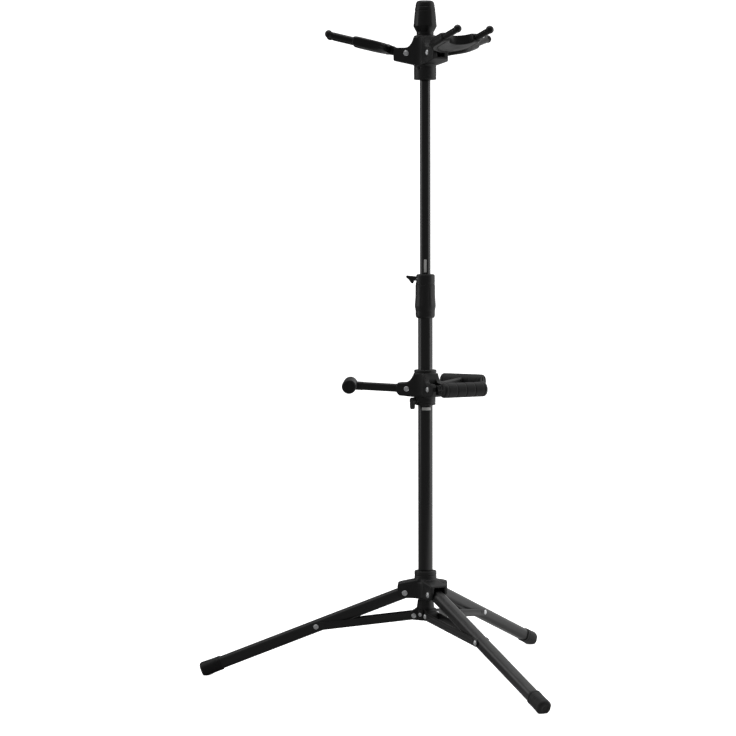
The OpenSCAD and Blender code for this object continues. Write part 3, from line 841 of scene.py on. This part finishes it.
def head_fn(p):
    z = HEAD_Z
    q = fold3(p)
    r = np.hypot(p[..., 0], p[..., 1])
    d = sd_rev(p, fillet([(-5, z), (19.05, z), (19.05, z + 26), (18.9, z + 26.4), (18.9, z + 74.5), (-5, z + 74.5)], [0, 1.3, 0.3, 0.3, 1.5, 0], 3))
    lug = sd_slab(q, fillet(shift_poly([(5, 24.8), (18, 24.8), (52.6, 32.5), (53.5, 33.6), (53.5, 52), (52, 53.7),
        (34, 53.7), (30.4, 54.3), (26.6, 56.8), (23.4, 61), (21, 66.2), (19.6, 71), (5, 71)], z), 0.6, 2), 14.5, 1.3)
    d = smin(d, lug, 2.6)
    d = smin(d, sd_ycyl(q, yoke_r, yoke_z, 7.0, 14.9, 0.4), 0.7)
    # small raised bead on the lug's outer corner
    d = smin(d, sd_ycyl(q, 49.6, z + 53.4, 1.4, 12.5, 0.5), 1.0)
    d = smax(d, -(np.hypot(r - 19.3, p[..., 2] - (z + 5.0)) - 0.7), 0.3)
    d = smax(d, -(np.hypot(r - 19.3, p[..., 2] - (z + 21.5)) - 0.7), 0.3)
    slot = np.maximum(np.maximum(24 - q[..., 0], (z + 36.2) - p[..., 2]), np.abs(q[..., 1]) - 7.2)
    d = smax(d, -slot, 0.5)
    s = rotz(p, 122) - np.array([0, 0, z + 19])
    d = smax(d, -np.maximum(np.hypot(s[..., 1], s[..., 2]) - 2.6, -s[..., 0]), 0.25)
    d = smax(d, -np.maximum(r - (POST_R + 0.04), p[..., 2] - (z + 55.2)), 0.3)
    d = smax(d, -np.maximum(r - 4.04, (z + 58) - p[..., 2]), 0.2)
    return d


def hub(name, fn, nodes, mat, body, h=0.8):
    lo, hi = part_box(nodes[0])
    lo = np.array(lo) * 1000 - 2.4
    hi = np.array(hi) * 1000 + 2.4
    return make(name, surface(fn, lo, hi, h), mat, body, nodes, smooth=44)


Q = 0.8
hub("leg_hub_moulding", leg_hub_fn, ["leg_hub"], M_HUB, "leg_slider", Q)
hub("strut_hub_moulding", strut_hub_fn, ["strut_hub"], M_HUB, "base", Q * 0.9)
hub("rest_collar_moulding", collar_fn, ["mid_collar"], M_HUB, "collar", Q)
hub("yoke_head_moulding", head_fn, ["yoke_head"], M_HUB, "post", Q)


def set_screw_fn(p):
    s = rotz(p, 122) - np.array([0, 0, HEAD_Z + 19])
    r = np.hypot(s[..., 1], s[..., 2])
    d = np.maximum(r - 2.5, np.abs(s[..., 0] - (POST_R + 4.7)) - 4.6)
    a = np.arctan2(s[..., 2], s[..., 1])
    a = (a + PI / 6) % (PI / 3) - PI / 6
    hexd = r * np.cos(a) - 1.25
    return smax(d, -np.maximum(hexd, (POST_R + 6.4) - s[..., 0]), 0.15)


hub("head_grub_screw", set_screw_fn, ["head_set_screw"], M_DARKSTEEL, "post", 0.3)

# ---------------------------------------------------------------- clutch


def grip_flutes(t, r, z):
    """Sixteen shallow finger flutes round the clutch's grip."""
    u = (z - CLUTCH_Z - 16) / 36.0
    if r < 13 or u <= 0 or u >= 1:
        return r, z
    w = math.sin(PI * u) ** 0.5
    return r - 0.22 * w * (0.5 + 0.5 * math.cos(16 * t)) ** 3, z


c = CLUTCH_Z
body_prof = fillet([(12.53, c), (14.6, c), (16.2, c + 2.4), (16.6, c + 5), (16.6, c + 12), (17.6, c + 17.5), (18.1, c + 20.4), (17.7, c + 26), (17.0, c + 36),
    (16.8, c + 50), (16.7, c + 56.4), (12.0, c + 56.4), (12.0, c + 26), (10.4, c + 26), (10.4, c + 24.5), (12.53, c + 24.5)],
    [0.3, 0.7, 1.5, 3, 6, 9, 9, 14, 30, 30, 0.7, 0.3, 0.2, 0.2, 0.2, 0.2], 4)
make("clutch_housing", lathe(densify(body_prof, 2.2), 192, closed=True, fn=grip_flutes), M_CLUTCH, "base", ["clutch_body"], smooth=40)


def cap_fn(p):
    z0 = CLUTCH_Z + 56.5
    r = np.hypot(p[..., 0], p[..., 1])
    d = sd_rev(p, fillet([(0, z0), (16.4, z0), (16.4, z0 + 15.4), (15.6, z0 + 17.4), (13.2, z0 + 18.1), (0, z0 + 18.1)], [0, 0.5, 1.2, 1.2, 1.2, 0], 3))
    d = smax(d, -(np.hypot(r - 16.6, p[..., 2] - (z0 + 2.6)) - 0.5), 0.2)
    slot = np.maximum(np.maximum(np.abs(p[..., 1]) - 5.2, (CLUTCH_Z + 60.6) - p[..., 2]), p[..., 0] - (LEVER_P[0] + 3.9))
    d = smax(d, -slot, 0.5)
    d = smax(d, -(np.hypot(p[..., 0] - LEVER_P[0], p[..., 2] - LEVER_P[2]) - 1.52), 0.15)
    d = smax(d, -(r - 9.06), 0.5)
    return d


hub("clutch_top_cap", cap_fn, ["clutch_cap"], M_CLUTCH, "base", 0.5)


def lever_fn(p):
    lx, lz = LEVER_P[0], LEVER_P[2]
    x, y, z = p[..., 0], p[..., 1], p[..., 2]
    out = fillet([(lx, lz + 3.5), (lx - 6, lz + 4.2), (-26, lz + 4.7), (-31.6, lz + 5.4), (-32.8, lz + 4.2), (-32.2, lz + 1.6), (-28.6, lz - 1.2), (-26.2, lz - 4.4),
        (-24.2, lz - 7.6), (-22.4, lz - 8.4), (-20.4, lz - 7.8), (-18.6, lz - 3.4), (lx, lz - 3.5)], [0, 1, 1, 0.7, 0.7, 0.9, 2, 2, 0.9, 0.9, 0.9, 2, 0], 4)
    d = sd_slab(p, out, 5.0, 0.7)
    d = smin(d, sd_ycyl(p, lx, lz, 3.5, 5.0, 0.5), 0.8)
    # finger ribs across the top
    top = lz + 4.55
    rib = np.hypot((x + 30.45) % 1.7 - 0.85, z - (top + 0.02)) - 0.32
    rib = np.maximum(rib, np.maximum(np.abs(y) - 3.9, np.maximum(-29.9 - x, x + 20.6)))
    d = smin(d, rib, 0.2)
    d = smax(d, -np.maximum(np.abs(y) - 2.2, np.maximum(np.hypot(x - lx, z - lz) - 3.9, -10)), 0.2)
    d = smax(d, -sd_box(p, (lx + 1.4, 0, lz), (6, 2.2, 3.9)), 0.2)
    d = smax(d, -(np.hypot(x - lx, z - lz) - 1.55), 0.15)
    return d


hub("clutch_trigger_lever", lever_fn, ["clutch_lever"], M_CLUTCH, "clutch_lever", 0.4)

# ---------------------------------------------------------------- top knob
g0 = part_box("top_grip")[0][2] * 1000
TOP_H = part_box("top_grip")[1][2] * 1000 - g0


def knob_facets(t, r, z):
    """Ten soft facets between the shoulder and the crown."""
    u = (z - g0 - 12) / (TOP_H - 20)
    if r < 6 or u <= 0 or u >= 1:
        return r, z
    a = (t + PI / 10) % (PI / 5) - PI / 10
    flat = math.cos(PI / 10) / math.cos(a)
    w = min(1, u * 5) * min(1, (1 - u) * 4)
    return r * (1 - w * 0.42 * (1 - flat)), z


knob = [(0, 0), (14.2, 0), (14.2, 5.6), (19.0, 14.2), (19.6, 15.8), (18.4, 30.5), (17.5, 40.2), (17.0, 40.7), (16.95, 41.5), (17.35, 42.0),
    (17.2, 43.5), (16.7, 45.6), (16.35, 47.6), (15.85, 48.1), (15.8, 48.9), (16.05, 49.4), (15.9, 50.5), (14.9, 55), (13.0, 57.6), (10.5, 58.4)]
knob_r = [0, 0.6, 1.5, 2, 2, 8, 0.3, 0.3, 0.3, 0.3, 1.5, 2, 0.3, 0.3, 0.3, 0.3, 2, 2, 2, 2]
kp = fillet([(r * 1.025, z + g0) for r, z in knob] + [(3.2, g0 + TOP_H), (2.8, g0 + TOP_H - 0.5), (0, g0 + TOP_H - 0.6)], knob_r + [0.3, 0.3, 0], 3, closed=False)
kp = densify(kp, 1.6, closed=False)
kp[0] = np.array([0.0, g0])
kp[-1] = np.array([0.0, g0 + TOP_H - 0.6])
make("top_knob", lathe(kp, 120, fn=knob_facets), M_GRIP, "post", ["top_grip"], smooth=45)

# ---------------------------------------------------------------- collar clamp


def threaded(r, x0, x1, pitch=0.8, depth=0.36, m=24):
    rows = []
    n = int((x1 - x0) / pitch * 8)
    xs = np.linspace(x0 + 0.5, x1 - 0.5, n)
    t = np.linspace(0, 2 * PI, m, endpoint=False)
    rows.append(np.stack([np.full(m, x0), (r - 0.7) * np.cos(t), (r - 0.7) * np.sin(t)], -1))
    for x in xs:
        ph = (x / pitch - t / (2 * PI)) % 1.0
        rr = r - depth * (1 - np.abs(2 * ph - 1)) * 1.0
        rows.append(np.stack([np.full(m, x), rr * np.cos(t), rr * np.sin(t)], -1))
    rows.append(np.stack([np.full(m, x1), (r - 0.7) * np.cos(t), (r - 0.7) * np.sin(t)], -1))
    return loft(rows)


CZ = CLAMP_P[2]
lo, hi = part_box("clamp_screw")
reach = max(math.hypot(a, b) for a in (lo[0], hi[0]) for b in (lo[1], hi[1])) * 1000
g = Geo().join(threaded(2.86, TUBE_R + 0.16, 27.6), lambda v: rotz(v + np.array([0, 0, CZ]), -150))
make("clamp_thread", g.out, M_STEEL, "clamp", ["clamp_screw"], smooth=60)


def clamp_fn(p):
    s = rotz(p, 150) - np.array([0, 0, CZ])
    x, y, z = s[..., 0], s[..., 1], s[..., 2]
    d = sd_cyl(s, (21.2, 0, 0), (28.2, 0, 0), 5.3, 0.7)
    out = fillet([(-4.6, 1), (-3.9, -11.5), (-2.6, -13.9), (0, -14.8), (2.6, -13.9), (3.9, -11.5), (4.6, 1)], 1.2, 3)
    d2 = sd_poly(y, z, out) + 0.7
    d3 = np.abs(x - 25.2) - 3.2 + 0.7
    blade = np.minimum(np.maximum(d2, d3), 0) + np.hypot(np.maximum(d2, 0), np.maximum(d3, 0)) - 0.7
    # thumb hollow on the outer face
    blade = smax(blade, -(np.sqrt((x - 40.2) ** 2 + y * y + (z + 9.0) ** 2) - 12.3), 0.5)
    d = smin(d, blade, 0.8)
    d = smax(d, -np.maximum(np.hypot(y, z) - 2.93, x - 27.8), 0.2)
    return d


hub("clamp_thumb_lever", clamp_fn, ["clamp_lever"], M_CLUTCH, "clamp", 0.45)

# ---------------------------------------------------------------- legs, feet, struts
LEG_LEN = (381.0 - leg_r) / math.cos(LEG_DROP)
sec = rrect(21, 20, 7, 7)


def leg_geo():
    rings = []
    inner = rrect(18, 17, 5.5, 7)
    x0, x1 = -8.0, LEG_LEN - 5
    rings += [ring_x(inner * 0.02, x0 + 7), ring_x(inner * 0.5, x0 + 7), ring_x(inner, x0 + 7), ring_x(inner, x0 + 0.4)]
    for k in range(5):
        a = PI * k / 4
        rings.append(ring_x(blend_ring(inner, sec, (1 - math.cos(a)) / 2), x0 + 0.5 - 0.5 * math.sin(a)))
    n = 40
    for k in range(1, n):
        rings.append(ring_x(sec, x0 + 0.5 + (x1 - x0 - 1.0) * k / n))
    rings += [ring_x(sec, x1 - 0.6), ring_x(sec * 0.985, x1), ring_x(sec * 0.5, x1), ring_x(sec * 0.02, x1)]
    return loft(rings)


def foot_geo():
    """A boot pushed on the leg end: square-shouldered collar, grip ribs, then a round sole cut flat at the floor."""
    m = len(sec)
    rings = []
    seat = rrect(21.08, 20.08, 7.04, 7)
    collar = rrect(24.2, 23.4, 9.0, 7)
    prof = [(-33, 0.2), (-32.9, 0.55), (-32.4, 0.85), (-31.4, 1.0), (-27.8, 1.0), (-27.2, 0.72), (-26.6, 0.72), (-26.0, 1.0)]
    rings.append(ring_x(seat * 0.02, -9))
    rings.append(ring_x(seat * 0.6, -9))
    rings.append(ring_x(seat, -9))
    rings.append(ring_x(seat, -32.6))
    for x, t in prof:
        rings.append(ring_x(blend_ring(seat, collar, t), x))
    xs = np.arange(-25.0, 0.1, 0.5)
    for x in xs:
        t = (x + 25) / 25.0
        R = 12.45 + (13.3 - 12.45) * t
        ring = circ_like(sec, R)
        s = 1 / (1 + math.exp(-(x + 18) / 2.4))
        a = blend_ring(collar, ring, s)
        # three soft ribs
        rib = sum(math.exp(-((x - c_) / 0.7) ** 2) for c_ in (-21.5, -17.5, -13.5, -5.0, -2.2))
        rings.append(ring_x(a * (1 - 0.016 * rib), x))
    for x, R in ((1.0, 13.1), (2.2, 12.8), (3.3, 12.35), (4.2, 11.5), (4.9, 10.4), (5.4, 9.1), (5.4, 6.4), (4.8, 5.6), (4.8, 3.0), (4.8, 0.2)):
        rings.append(ring_x(circ_like(sec, R), x))
    v, f = loft(rings)
    return v + np.array([LEG_LEN, 0, 0]), f


def stadium(r, x0, x1, k=10):
    pts = []
    for i in range(k + 1):
        a = -PI / 2 + PI * i / k
        pts.append((x1 + r * math.cos(a), r * math.sin(a)))
    nn = 12
    for i in range(1, nn):
        pts.append((x1 + (x0 - x1) * i / nn, r))
    for i in range(k + 1):
        a = PI / 2 + PI * i / k
        pts.append((x0 + r * math.cos(a), r * math.sin(a)))
    for i in range(1, nn):
        pts.append((x0 + (x1 - x0) * i / nn, -r))
    return np.array(pts)


def bar_geo(sgn):
    r, L = 6.65, STRUT_LEN
    inn, out = 10.15, 12.15
    st = lambda rr, y, a=0.0, b=0.0: np.stack([stadium(rr, a, L - b)[:, 0], np.full(len(stadium(rr, a, L - b)), y), stadium(rr, a, L - b)[:, 1]], -1)
    rings = [st(0.1, inn, 14, 14), st(r - 0.35, inn), st(r - 0.1, inn + 0.12), st(r, inn + 0.4), st(r, out - 0.45), st(r - 0.12, out - 0.14), st(r - 0.45, out),
             st(3.5, out, 15, 15), st(3.1, out - 0.12, 15, 15), st(2.5, out - 0.5, 15, 15), st(2.1, out - 0.6, 15, 15), st(0.1, out - 0.6, 15, 15)]
    v, f = loft(rings)
    v[:, 1] *= sgn
    return v, f


for who, az in AZ.items():
    at_leg = lambda v: place(v, az, (leg_r, 0, leg_z), LEG_DROP)
    make(f"leg_section_{who}", Geo().join(leg_geo(), at_leg).out, M_LEG, f"leg_{who}", [f"leg_{who}"], smooth=40)
    v, f = Geo().join(foot_geo(), at_leg).out
    v[:, 2] = np.maximum(v[:, 2], 0.0)
    make(f"foot_boot_{who}", (v, f), M_FOOT, f"leg_{who}", [f"foot_{who}"], smooth=40)
    g = Geo()
    for s in (-1, 1):
        g.join(bar_geo(s), lambda v: place(v, az, (q_r, 0, q_z), STRUT_DROP))
    make(f"strut_bars_{who}", g.out, M_BAR, f"strut_{who}", [f"strut_{who}"], smooth=35)

# ---------------------------------------------------------------- rest arms and pads


PAD_R, PAD_L = 12.4, 82.0


def sd_bar_x(p, x0, x1, h, w, r):
    """Rounded rectangle bar along X: h tall, w wide."""
    qy, qz = np.abs(p[..., 1]) - (w / 2 - r), np.abs(p[..., 2]) - (h / 2 - r)
    d2 = np.hypot(np.maximum(qy, 0), np.maximum(qz, 0)) + np.minimum(np.maximum(qy, qz), 0) - r
    d1 = np.maximum(x0 - p[..., 0], p[..., 0] - x1)
    return np.maximum(d1, d2)


def arm_fn(p):
    d = sd_ycyl(p, 0, 0, 6.8, 7.0, 0.8)
    # the shank swells a little towards the crossbar
    d = smin(d, sd_bar_x(p, 0, ARM_LEN, 13.7, 11.6, 4.0), 1.0)
    d = smin(d, sd_bar_x(p, ARM_LEN - 21.5, ARM_LEN - 11.0, 14.2, 12.0, 4.0), 1.0)
    d = smin(d, sd_bar_x(p, 15.5, 18.5, 14.2, 12.0, 4.0), 0.6)
    d = smin(d, sd_cyl(p, (ARM_LEN, -PAD_L / 2 + 3, 0), (ARM_LEN, PAD_L / 2 - 3, 0), 8.6, 0.8), 1.0)
    # long shallow recess on both sides of the shank
    rec = np.maximum(sd_bar_x(p, 24, ARM_LEN - 30, 6.0, 40, 2.6), 5.3 - np.abs(p[..., 1]))
    d = smax(d, -rec, 0.4)
    d = smax(d, -(np.hypot(p[..., 0], p[..., 2]) - 2.53), 0.2)
    return d


def pad_fn(p):
    L, R = PAD_L, PAD_R
    x, y, z = p[..., 0], p[..., 1], p[..., 2]
    r = np.hypot(x, z)
    ay = np.abs(y)
    prof = fillet([(-5, -L / 2), (R - 0.4, -L / 2), (R, -L / 2 + 6), (R, L / 2 - 6), (R - 0.4, L / 2), (-5, L / 2)], [0, 3.2, 6, 6, 3.2, 0], 6)
    d = sd_poly(r, y, prof)
    # ring grooves
    k = (y + 8.5) % 17.0 - 8.5
    ring = np.hypot(r - R - 0.25, k) - 0.95
    d = smax(d, -np.where(ay < L / 2 - 4, ring, 1e3), 0.35)
    # sunk round panel with a raised cross on each end
    end = ay - (L / 2 - 1.1)
    panel = np.maximum(r - 8.7, -end)
    cross = np.minimum(np.abs(x) - 1.3, np.abs(z) - 1.3)
    panel = np.maximum(panel, -cross)
    d = smax(d, -panel, 0.4)
    return d


arm_mesh = surface(arm_fn, (-8.5, -40, -10.5), (ARM_LEN + 10.5, 40, 10.5), 0.9)
pad_mesh = surface(pad_fn, (-PAD_R - 1.5, -PAD_L / 2 - 1.5, -PAD_R - 1.5), (PAD_R + 1.5, PAD_L / 2 + 1.5, PAD_R + 1.5), 0.8)
for who, az in AZ.items():
    at_arm = lambda v: place(v, az, (arm_r, 0, arm_z), -ARM_RISE)
    make(f"rest_arm_{who}", Geo().join(arm_mesh, at_arm).out, M_ARM, f"arm_{who}", [f"arm_{who}"], smooth=44)
    make(f"rest_pad_{who}", Geo().join(pad_mesh, lambda v: at_arm(v + np.array([ARM_LEN, 0, 0]))).out, M_PAD, f"arm_{who}", [f"pad_{who}"], smooth=48)

# ---------------------------------------------------------------- yokes
BEND, HALF, TIP = 65.2, 30.6, 136.6


def u_dist(p, end):
    x, y, z = p[..., 0], p[..., 1], p[..., 2]
    arc = np.hypot(np.hypot(x - BEND, y) - HALF, z)
    leg = np.hypot(np.abs(y) - HALF, z)
    past = np.sqrt((np.abs(y) - HALF) ** 2 + z * z + np.maximum(x - end, 0) ** 2)
    return np.where(x < BEND, arc, np.where(x < end, leg, past))


def yoke_fn(p):
    d = sd_ycyl(p, 0, 0, 6.8, 7.0, 0.8)
    d = smin(d, sd_bar_x(p, 0, BEND - HALF, 12.7, 11.6, 4.0), 1.0)
    d = smin(d, sd_bar_x(p, 22.6, 25.4, 13.2, 12.0, 4.0), 0.6)
    d = smin(d, np.maximum(u_dist(p, TIP - 9) - 4.0, p[..., 0] - (TIP - 5)), 1.0)
    rec = np.maximum(sd_bar_x(p, 10.5, 20.0, 5.4, 40, 2.4), 5.3 - np.abs(p[..., 1]))
    d = smax(d, -rec, 0.3)
    d = smax(d, -(np.hypot(p[..., 0], p[..., 2]) - 2.53), 0.2)
    return d


CRES_T, CRES_W, CRES_END = 7.3, 38.1, 27.3


def crescent_fn(p):
    """Soft crescent pad round the bend, thinner towards its horns' ends, with a ridge line round the rim."""
    x, y, z = p[..., 0], p[..., 1], p[..., 2]
    ay = np.abs(y)
    # plan outline: half disc behind, straight horns in front, round hollow between
    back = np.hypot(x - BEND, y) - CRES_W
    front = np.maximum(ay - CRES_W, x - (BEND + CRES_END))
    plan = np.where(x < BEND, back, front)
    horn = smax(ay - CRES_W, x - (BEND + CRES_END), 4.0)
    plan = np.where(x < BEND, plan, horn)
    half = CRES_T + 0.8 - 0.9 * np.clip((x - BEND - 12) / 16, 0, 1) ** 2
    rd = 4.6
    d1, d2 = plan + rd, np.abs(z) - half + rd
    d = np.minimum(np.maximum(d1, d2), 0) + np.hypot(np.maximum(d1, 0), np.maximum(d2, 0)) - rd
    # short neck that runs back over the stem
    t = np.clip((x - 19.5) / 14, 0, 1)
    ny, nz = ay - (8.0 + 5.0 * t * t), np.abs(z) - (7.3 + 0.7 * t)
    neck = np.hypot(np.maximum(ny + 3, 0), np.maximum(nz + 3, 0)) + np.minimum(np.maximum(ny + 3, nz + 3), 0) - 3
    neck = smax(neck, np.maximum(19.5 - x, x - 42), 1.2)
    d = smin(d, neck, 3.0)
    # hollow with an upright wall
    hollow = np.hypot(x - (BEND + 32), y) - 23.3
    d = smax(d, -hollow, 1.4)
    # shallow moulded channel along the middle of both faces
    mid = np.abs(np.where(x < BEND, np.hypot(x - BEND, y), ay) - HALF) - 3.2
    chan = np.maximum(mid, half - 0.45 - np.abs(z))
    chan = np.maximum(chan, x - (BEND + CRES_END - 6))
    d = smax(d, -chan, 0.5)
    # parting line round the rim
    d = smax(d, -np.maximum(np.abs(z) - 0.35, np.maximum(-(plan + 0.35), 34 - x)), 0.25)
    return d


def tip_geo(sgn):
    x0 = BEND + CRES_END - 2.4
    c_ = TIP - 3
    C = 5.4
    prof = [(x0, 0.05), (x0, 3.9), (x0 + 0.1, C - 0.45), (x0 + 0.5, C - 0.1), (x0 + 1.2, C), (x0 + 2.45, C)]
    x = x0 + 3
    while x < c_ - 9:
        prof.append((x, C))
        x += 3
    prof += [(c_ - 8.4, C), (c_ - 7.6, C - 0.2), (c_ - 6.9, C - 0.22), (c_ - 6.3, C - 0.05)]
    rings = []
    m = 32
    t = np.linspace(0, 2 * PI, m, endpoint=False)
    for x, r in prof:
        rings.append(np.stack([np.full(m, x), r * np.cos(t), r * np.sin(t)], -1))
    for a in np.linspace(math.radians(130), 0.02, 22):
        x, r = c_ + 6.4 * math.cos(a), 6.75 * math.sin(a)
        w = min(1.0, max(0.0, (x - (c_ - 6.3)) / 3.5))
        rings.append(np.stack([np.full(m, x), r * np.cos(t), r * np.sin(t) + 0.6 * w], -1))
    v, f = loft(rings)
    return v + np.array([0, sgn * HALF, 0]), f


yoke_mesh = surface(yoke_fn, (-8.5, -37, -9), (TIP - 1, 37, 9), 0.9)
crescent_mesh = surface(crescent_fn, (17.5, -CRES_W - 1.5, -CRES_T - 2.4), (BEND + CRES_END + 1.5, CRES_W + 1.5, CRES_T + 2.4), 0.9)
for who, az in AZ.items():
    at_yoke = lambda v: place(v, az, (yoke_r, 0, yoke_z), -YOKE_TILT)
    make(f"yoke_core_{who}", Geo().join(yoke_mesh, at_yoke).out, M_ARM, f"yoke_{who}", [f"yoke_{who}"], smooth=44)
    make(f"yoke_crescent_pad_{who}", Geo().join(crescent_mesh, at_yoke).out, M_CRES, f"yoke_{who}", [f"yoke_sleeve_{who}"], smooth=50)
    g = Geo()
    for s in (-1, 1):
        g.join(tip_geo(s), at_yoke)
    make(f"yoke_prong_covers_{who}", g.out, M_GRIP, f"yoke_{who}", [f"yoke_tips_{who}"], smooth=50)

# ---------------------------------------------------------------- inner pieces keep their CAD shape
for node, mat in {"clutch_collet": M_CLUTCH, "clutch_lever_pin": M_STEEL, "clutch_spring": M_STEEL, "post_bush": M_NYLON, "grip_stud": M_STEEL, "clamp_nut": M_STEEL}.items():
    ob = frame["nodes"][node]
    ob.data.materials.clear()
    ob.data.materials.append(mat)

# ---------------------------------------------------------------- floor and backdrop in one sweep


def backdrop():
    prof = [(y, 0.0) for y in np.linspace(-0.62, 1.6, 14)]
    for k in range(1, 25):
        a = PI / 2 * k / 24
        prof.append((1.6 + 1.6 * math.sin(a), 1.6 - 1.6 * math.cos(a)))
    prof += [(3.2, z) for z in np.linspace(2.0, 6.0, 8)]
    xs = np.linspace(-8, 8, 17)
    v = [(x, y, z) for y, z in prof for x in xs]
    f = []
    for i in range(len(prof) - 1):
        for j in range(len(xs) - 1):
            a = i * len(xs) + j
            f.append((a, a + 1, a + 1 + len(xs), a + len(xs)))
    me = bpy.data.meshes.new("studio_sweep")
    me.from_pydata(v, [], f)
    me.update()
    for p in me.polygons:
        p.use_smooth = True
    m, nt, bs, co = nodes_for("pale_paper")
    soft = noise(nt, co, 0.8, 3)
    lp0 = nt.nodes.new("ShaderNodeLightPath")
    seen = mix(nt, soft, (0.90, 0.90, 0.90), (0.93, 0.93, 0.93))
    nt.links.new(mix(nt, lp0.outputs["Is Camera Ray"], (0.25, 0.25, 0.25), seen), bs.inputs["Base Color"])
    bs.inputs["Roughness"].default_value = 0.9
    bs.inputs["Specular IOR Level"].default_value = 0.05
    bs.inputs["Emission Color"].default_value = (1, 1, 1, 1)
    # seen directly the paper is white; as a light source it is weaker, and weakest on the left
    lp = nt.nodes.new("ShaderNodeLightPath")
    geo = nt.nodes.new("ShaderNodeNewGeometry")
    sx = nt.nodes.new("ShaderNodeSeparateXYZ")
    nt.links.new(geo.outputs["Position"], sx.inputs[0])
    side = nt.nodes.new("ShaderNodeMapRange")
    side.inputs["From Min"].default_value = -0.1
    side.inputs["From Max"].default_value = 0.7
    side.inputs["To Min"].default_value = 0.03
    side.inputs["To Max"].default_value = 0.75
    nt.links.new(sx.outputs["X"], side.inputs["Value"])
    pick = nt.nodes.new("ShaderNodeMix")
    pick.data_type = "FLOAT"
    nt.links.new(lp.outputs["Is Camera Ray"], pick.inputs[0])
    nt.links.new(side.outputs[0], pick.inputs[2])
    pick.inputs[3].default_value = 1.0
    nt.links.new(pick.outputs[0], bs.inputs["Emission Strength"])
    me.materials.append(m)
    ob = bpy.data.objects.new("studio_sweep", me)
    SC.collection.objects.link(ob)
    return ob


backdrop()

# ---------------------------------------------------------------- light


def area(name, loc, target, size, power, colour=(1, 1, 1)):
    la = bpy.data.lights.new(name, "AREA")
    la.shape = "RECTANGLE"
    la.size, la.size_y = size
    la.energy = power
    la.color = colour
    ob = bpy.data.objects.new(name, la)
    ob.location = loc
    d = Vector(target) - Vector(loc)
    ob.rotation_euler = d.to_track_quat("-Z", "Y").to_euler()
    SC.collection.objects.link(ob)
    return ob


area("soft_left", (-2.8, 0.1, 1.2), (0, 0, 0.6), (0.7, 2.4), 8)
area("soft_right", (2.8, 0.0, 1.2), (0, 0, 0.6), (0.9, 2.4), 10)
area("soft_top", (-0.2, 0.1, 3.2), (0, 0, 0.5), (2.0, 1.6), 20)

w = bpy.data.worlds.new("studio")
SC.world = w
w.use_nodes = True
nt = w.node_tree
nt.nodes.clear()
wo = nt.nodes.new("ShaderNodeOutputWorld")
bg = nt.nodes.new("ShaderNodeBackground")
tc = nt.nodes.new("ShaderNodeTexCoord")
sp = nt.nodes.new("ShaderNodeSeparateXYZ")
nt.links.new(tc.outputs["Generated"], sp.inputs[0])
rp = nt.nodes.new("ShaderNodeValToRGB")
rp.color_ramp.elements[0].position = 0.30
rp.color_ramp.elements[0].color = (0.20, 0.20, 0.20, 1)
rp.color_ramp.elements[1].position = 0.62
rp.color_ramp.elements[1].color = (0.95, 0.95, 0.95, 1)
mr = nt.nodes.new("ShaderNodeMapRange")
mr.inputs["From Min"].default_value = -1
mr.inputs["From Max"].default_value = 1
nt.links.new(sp.outputs["Y"], mr.inputs["Value"])
nt.links.new(mr.outputs[0], rp.inputs[0])
# seen directly the room is as white as the paper, so the sweep's edge never shows
lpw = nt.nodes.new("ShaderNodeLightPath")
nt.links.new(mix(nt, lpw.outputs["Is Camera Ray"], rp.outputs[0], (1.6, 1.6, 1.6)), bg.inputs[0])
bg.inputs[1].default_value = 0.9
nt.links.new(bg.outputs[0], wo.inputs[0])

# ---------------------------------------------------------------- camera
cam = bpy.data.cameras.new("camera")
cam.lens = 127.75
cam.sensor_width = 36
cam.clip_start = 0.05
cam.clip_end = 60
co_ = bpy.data.objects.new("camera", cam)
co_.location = (0.0416, -4.4472, 0.8130)
# a little to the left, 3.6 degrees down, a trace of roll
co_.rotation_euler = (Matrix.Rotation(0.03135, 3, "Z") @ Matrix.Rotation(PI / 2 - 0.06356, 3, "X") @ Matrix.Rotation(-0.0021, 3, "Z")).to_euler()
SC.collection.objects.link(co_)
SC.camera = co_
SC.view_settings.view_transform = "Standard"
SC.view_settings.look = "None"

bpy.context.view_layer.update()
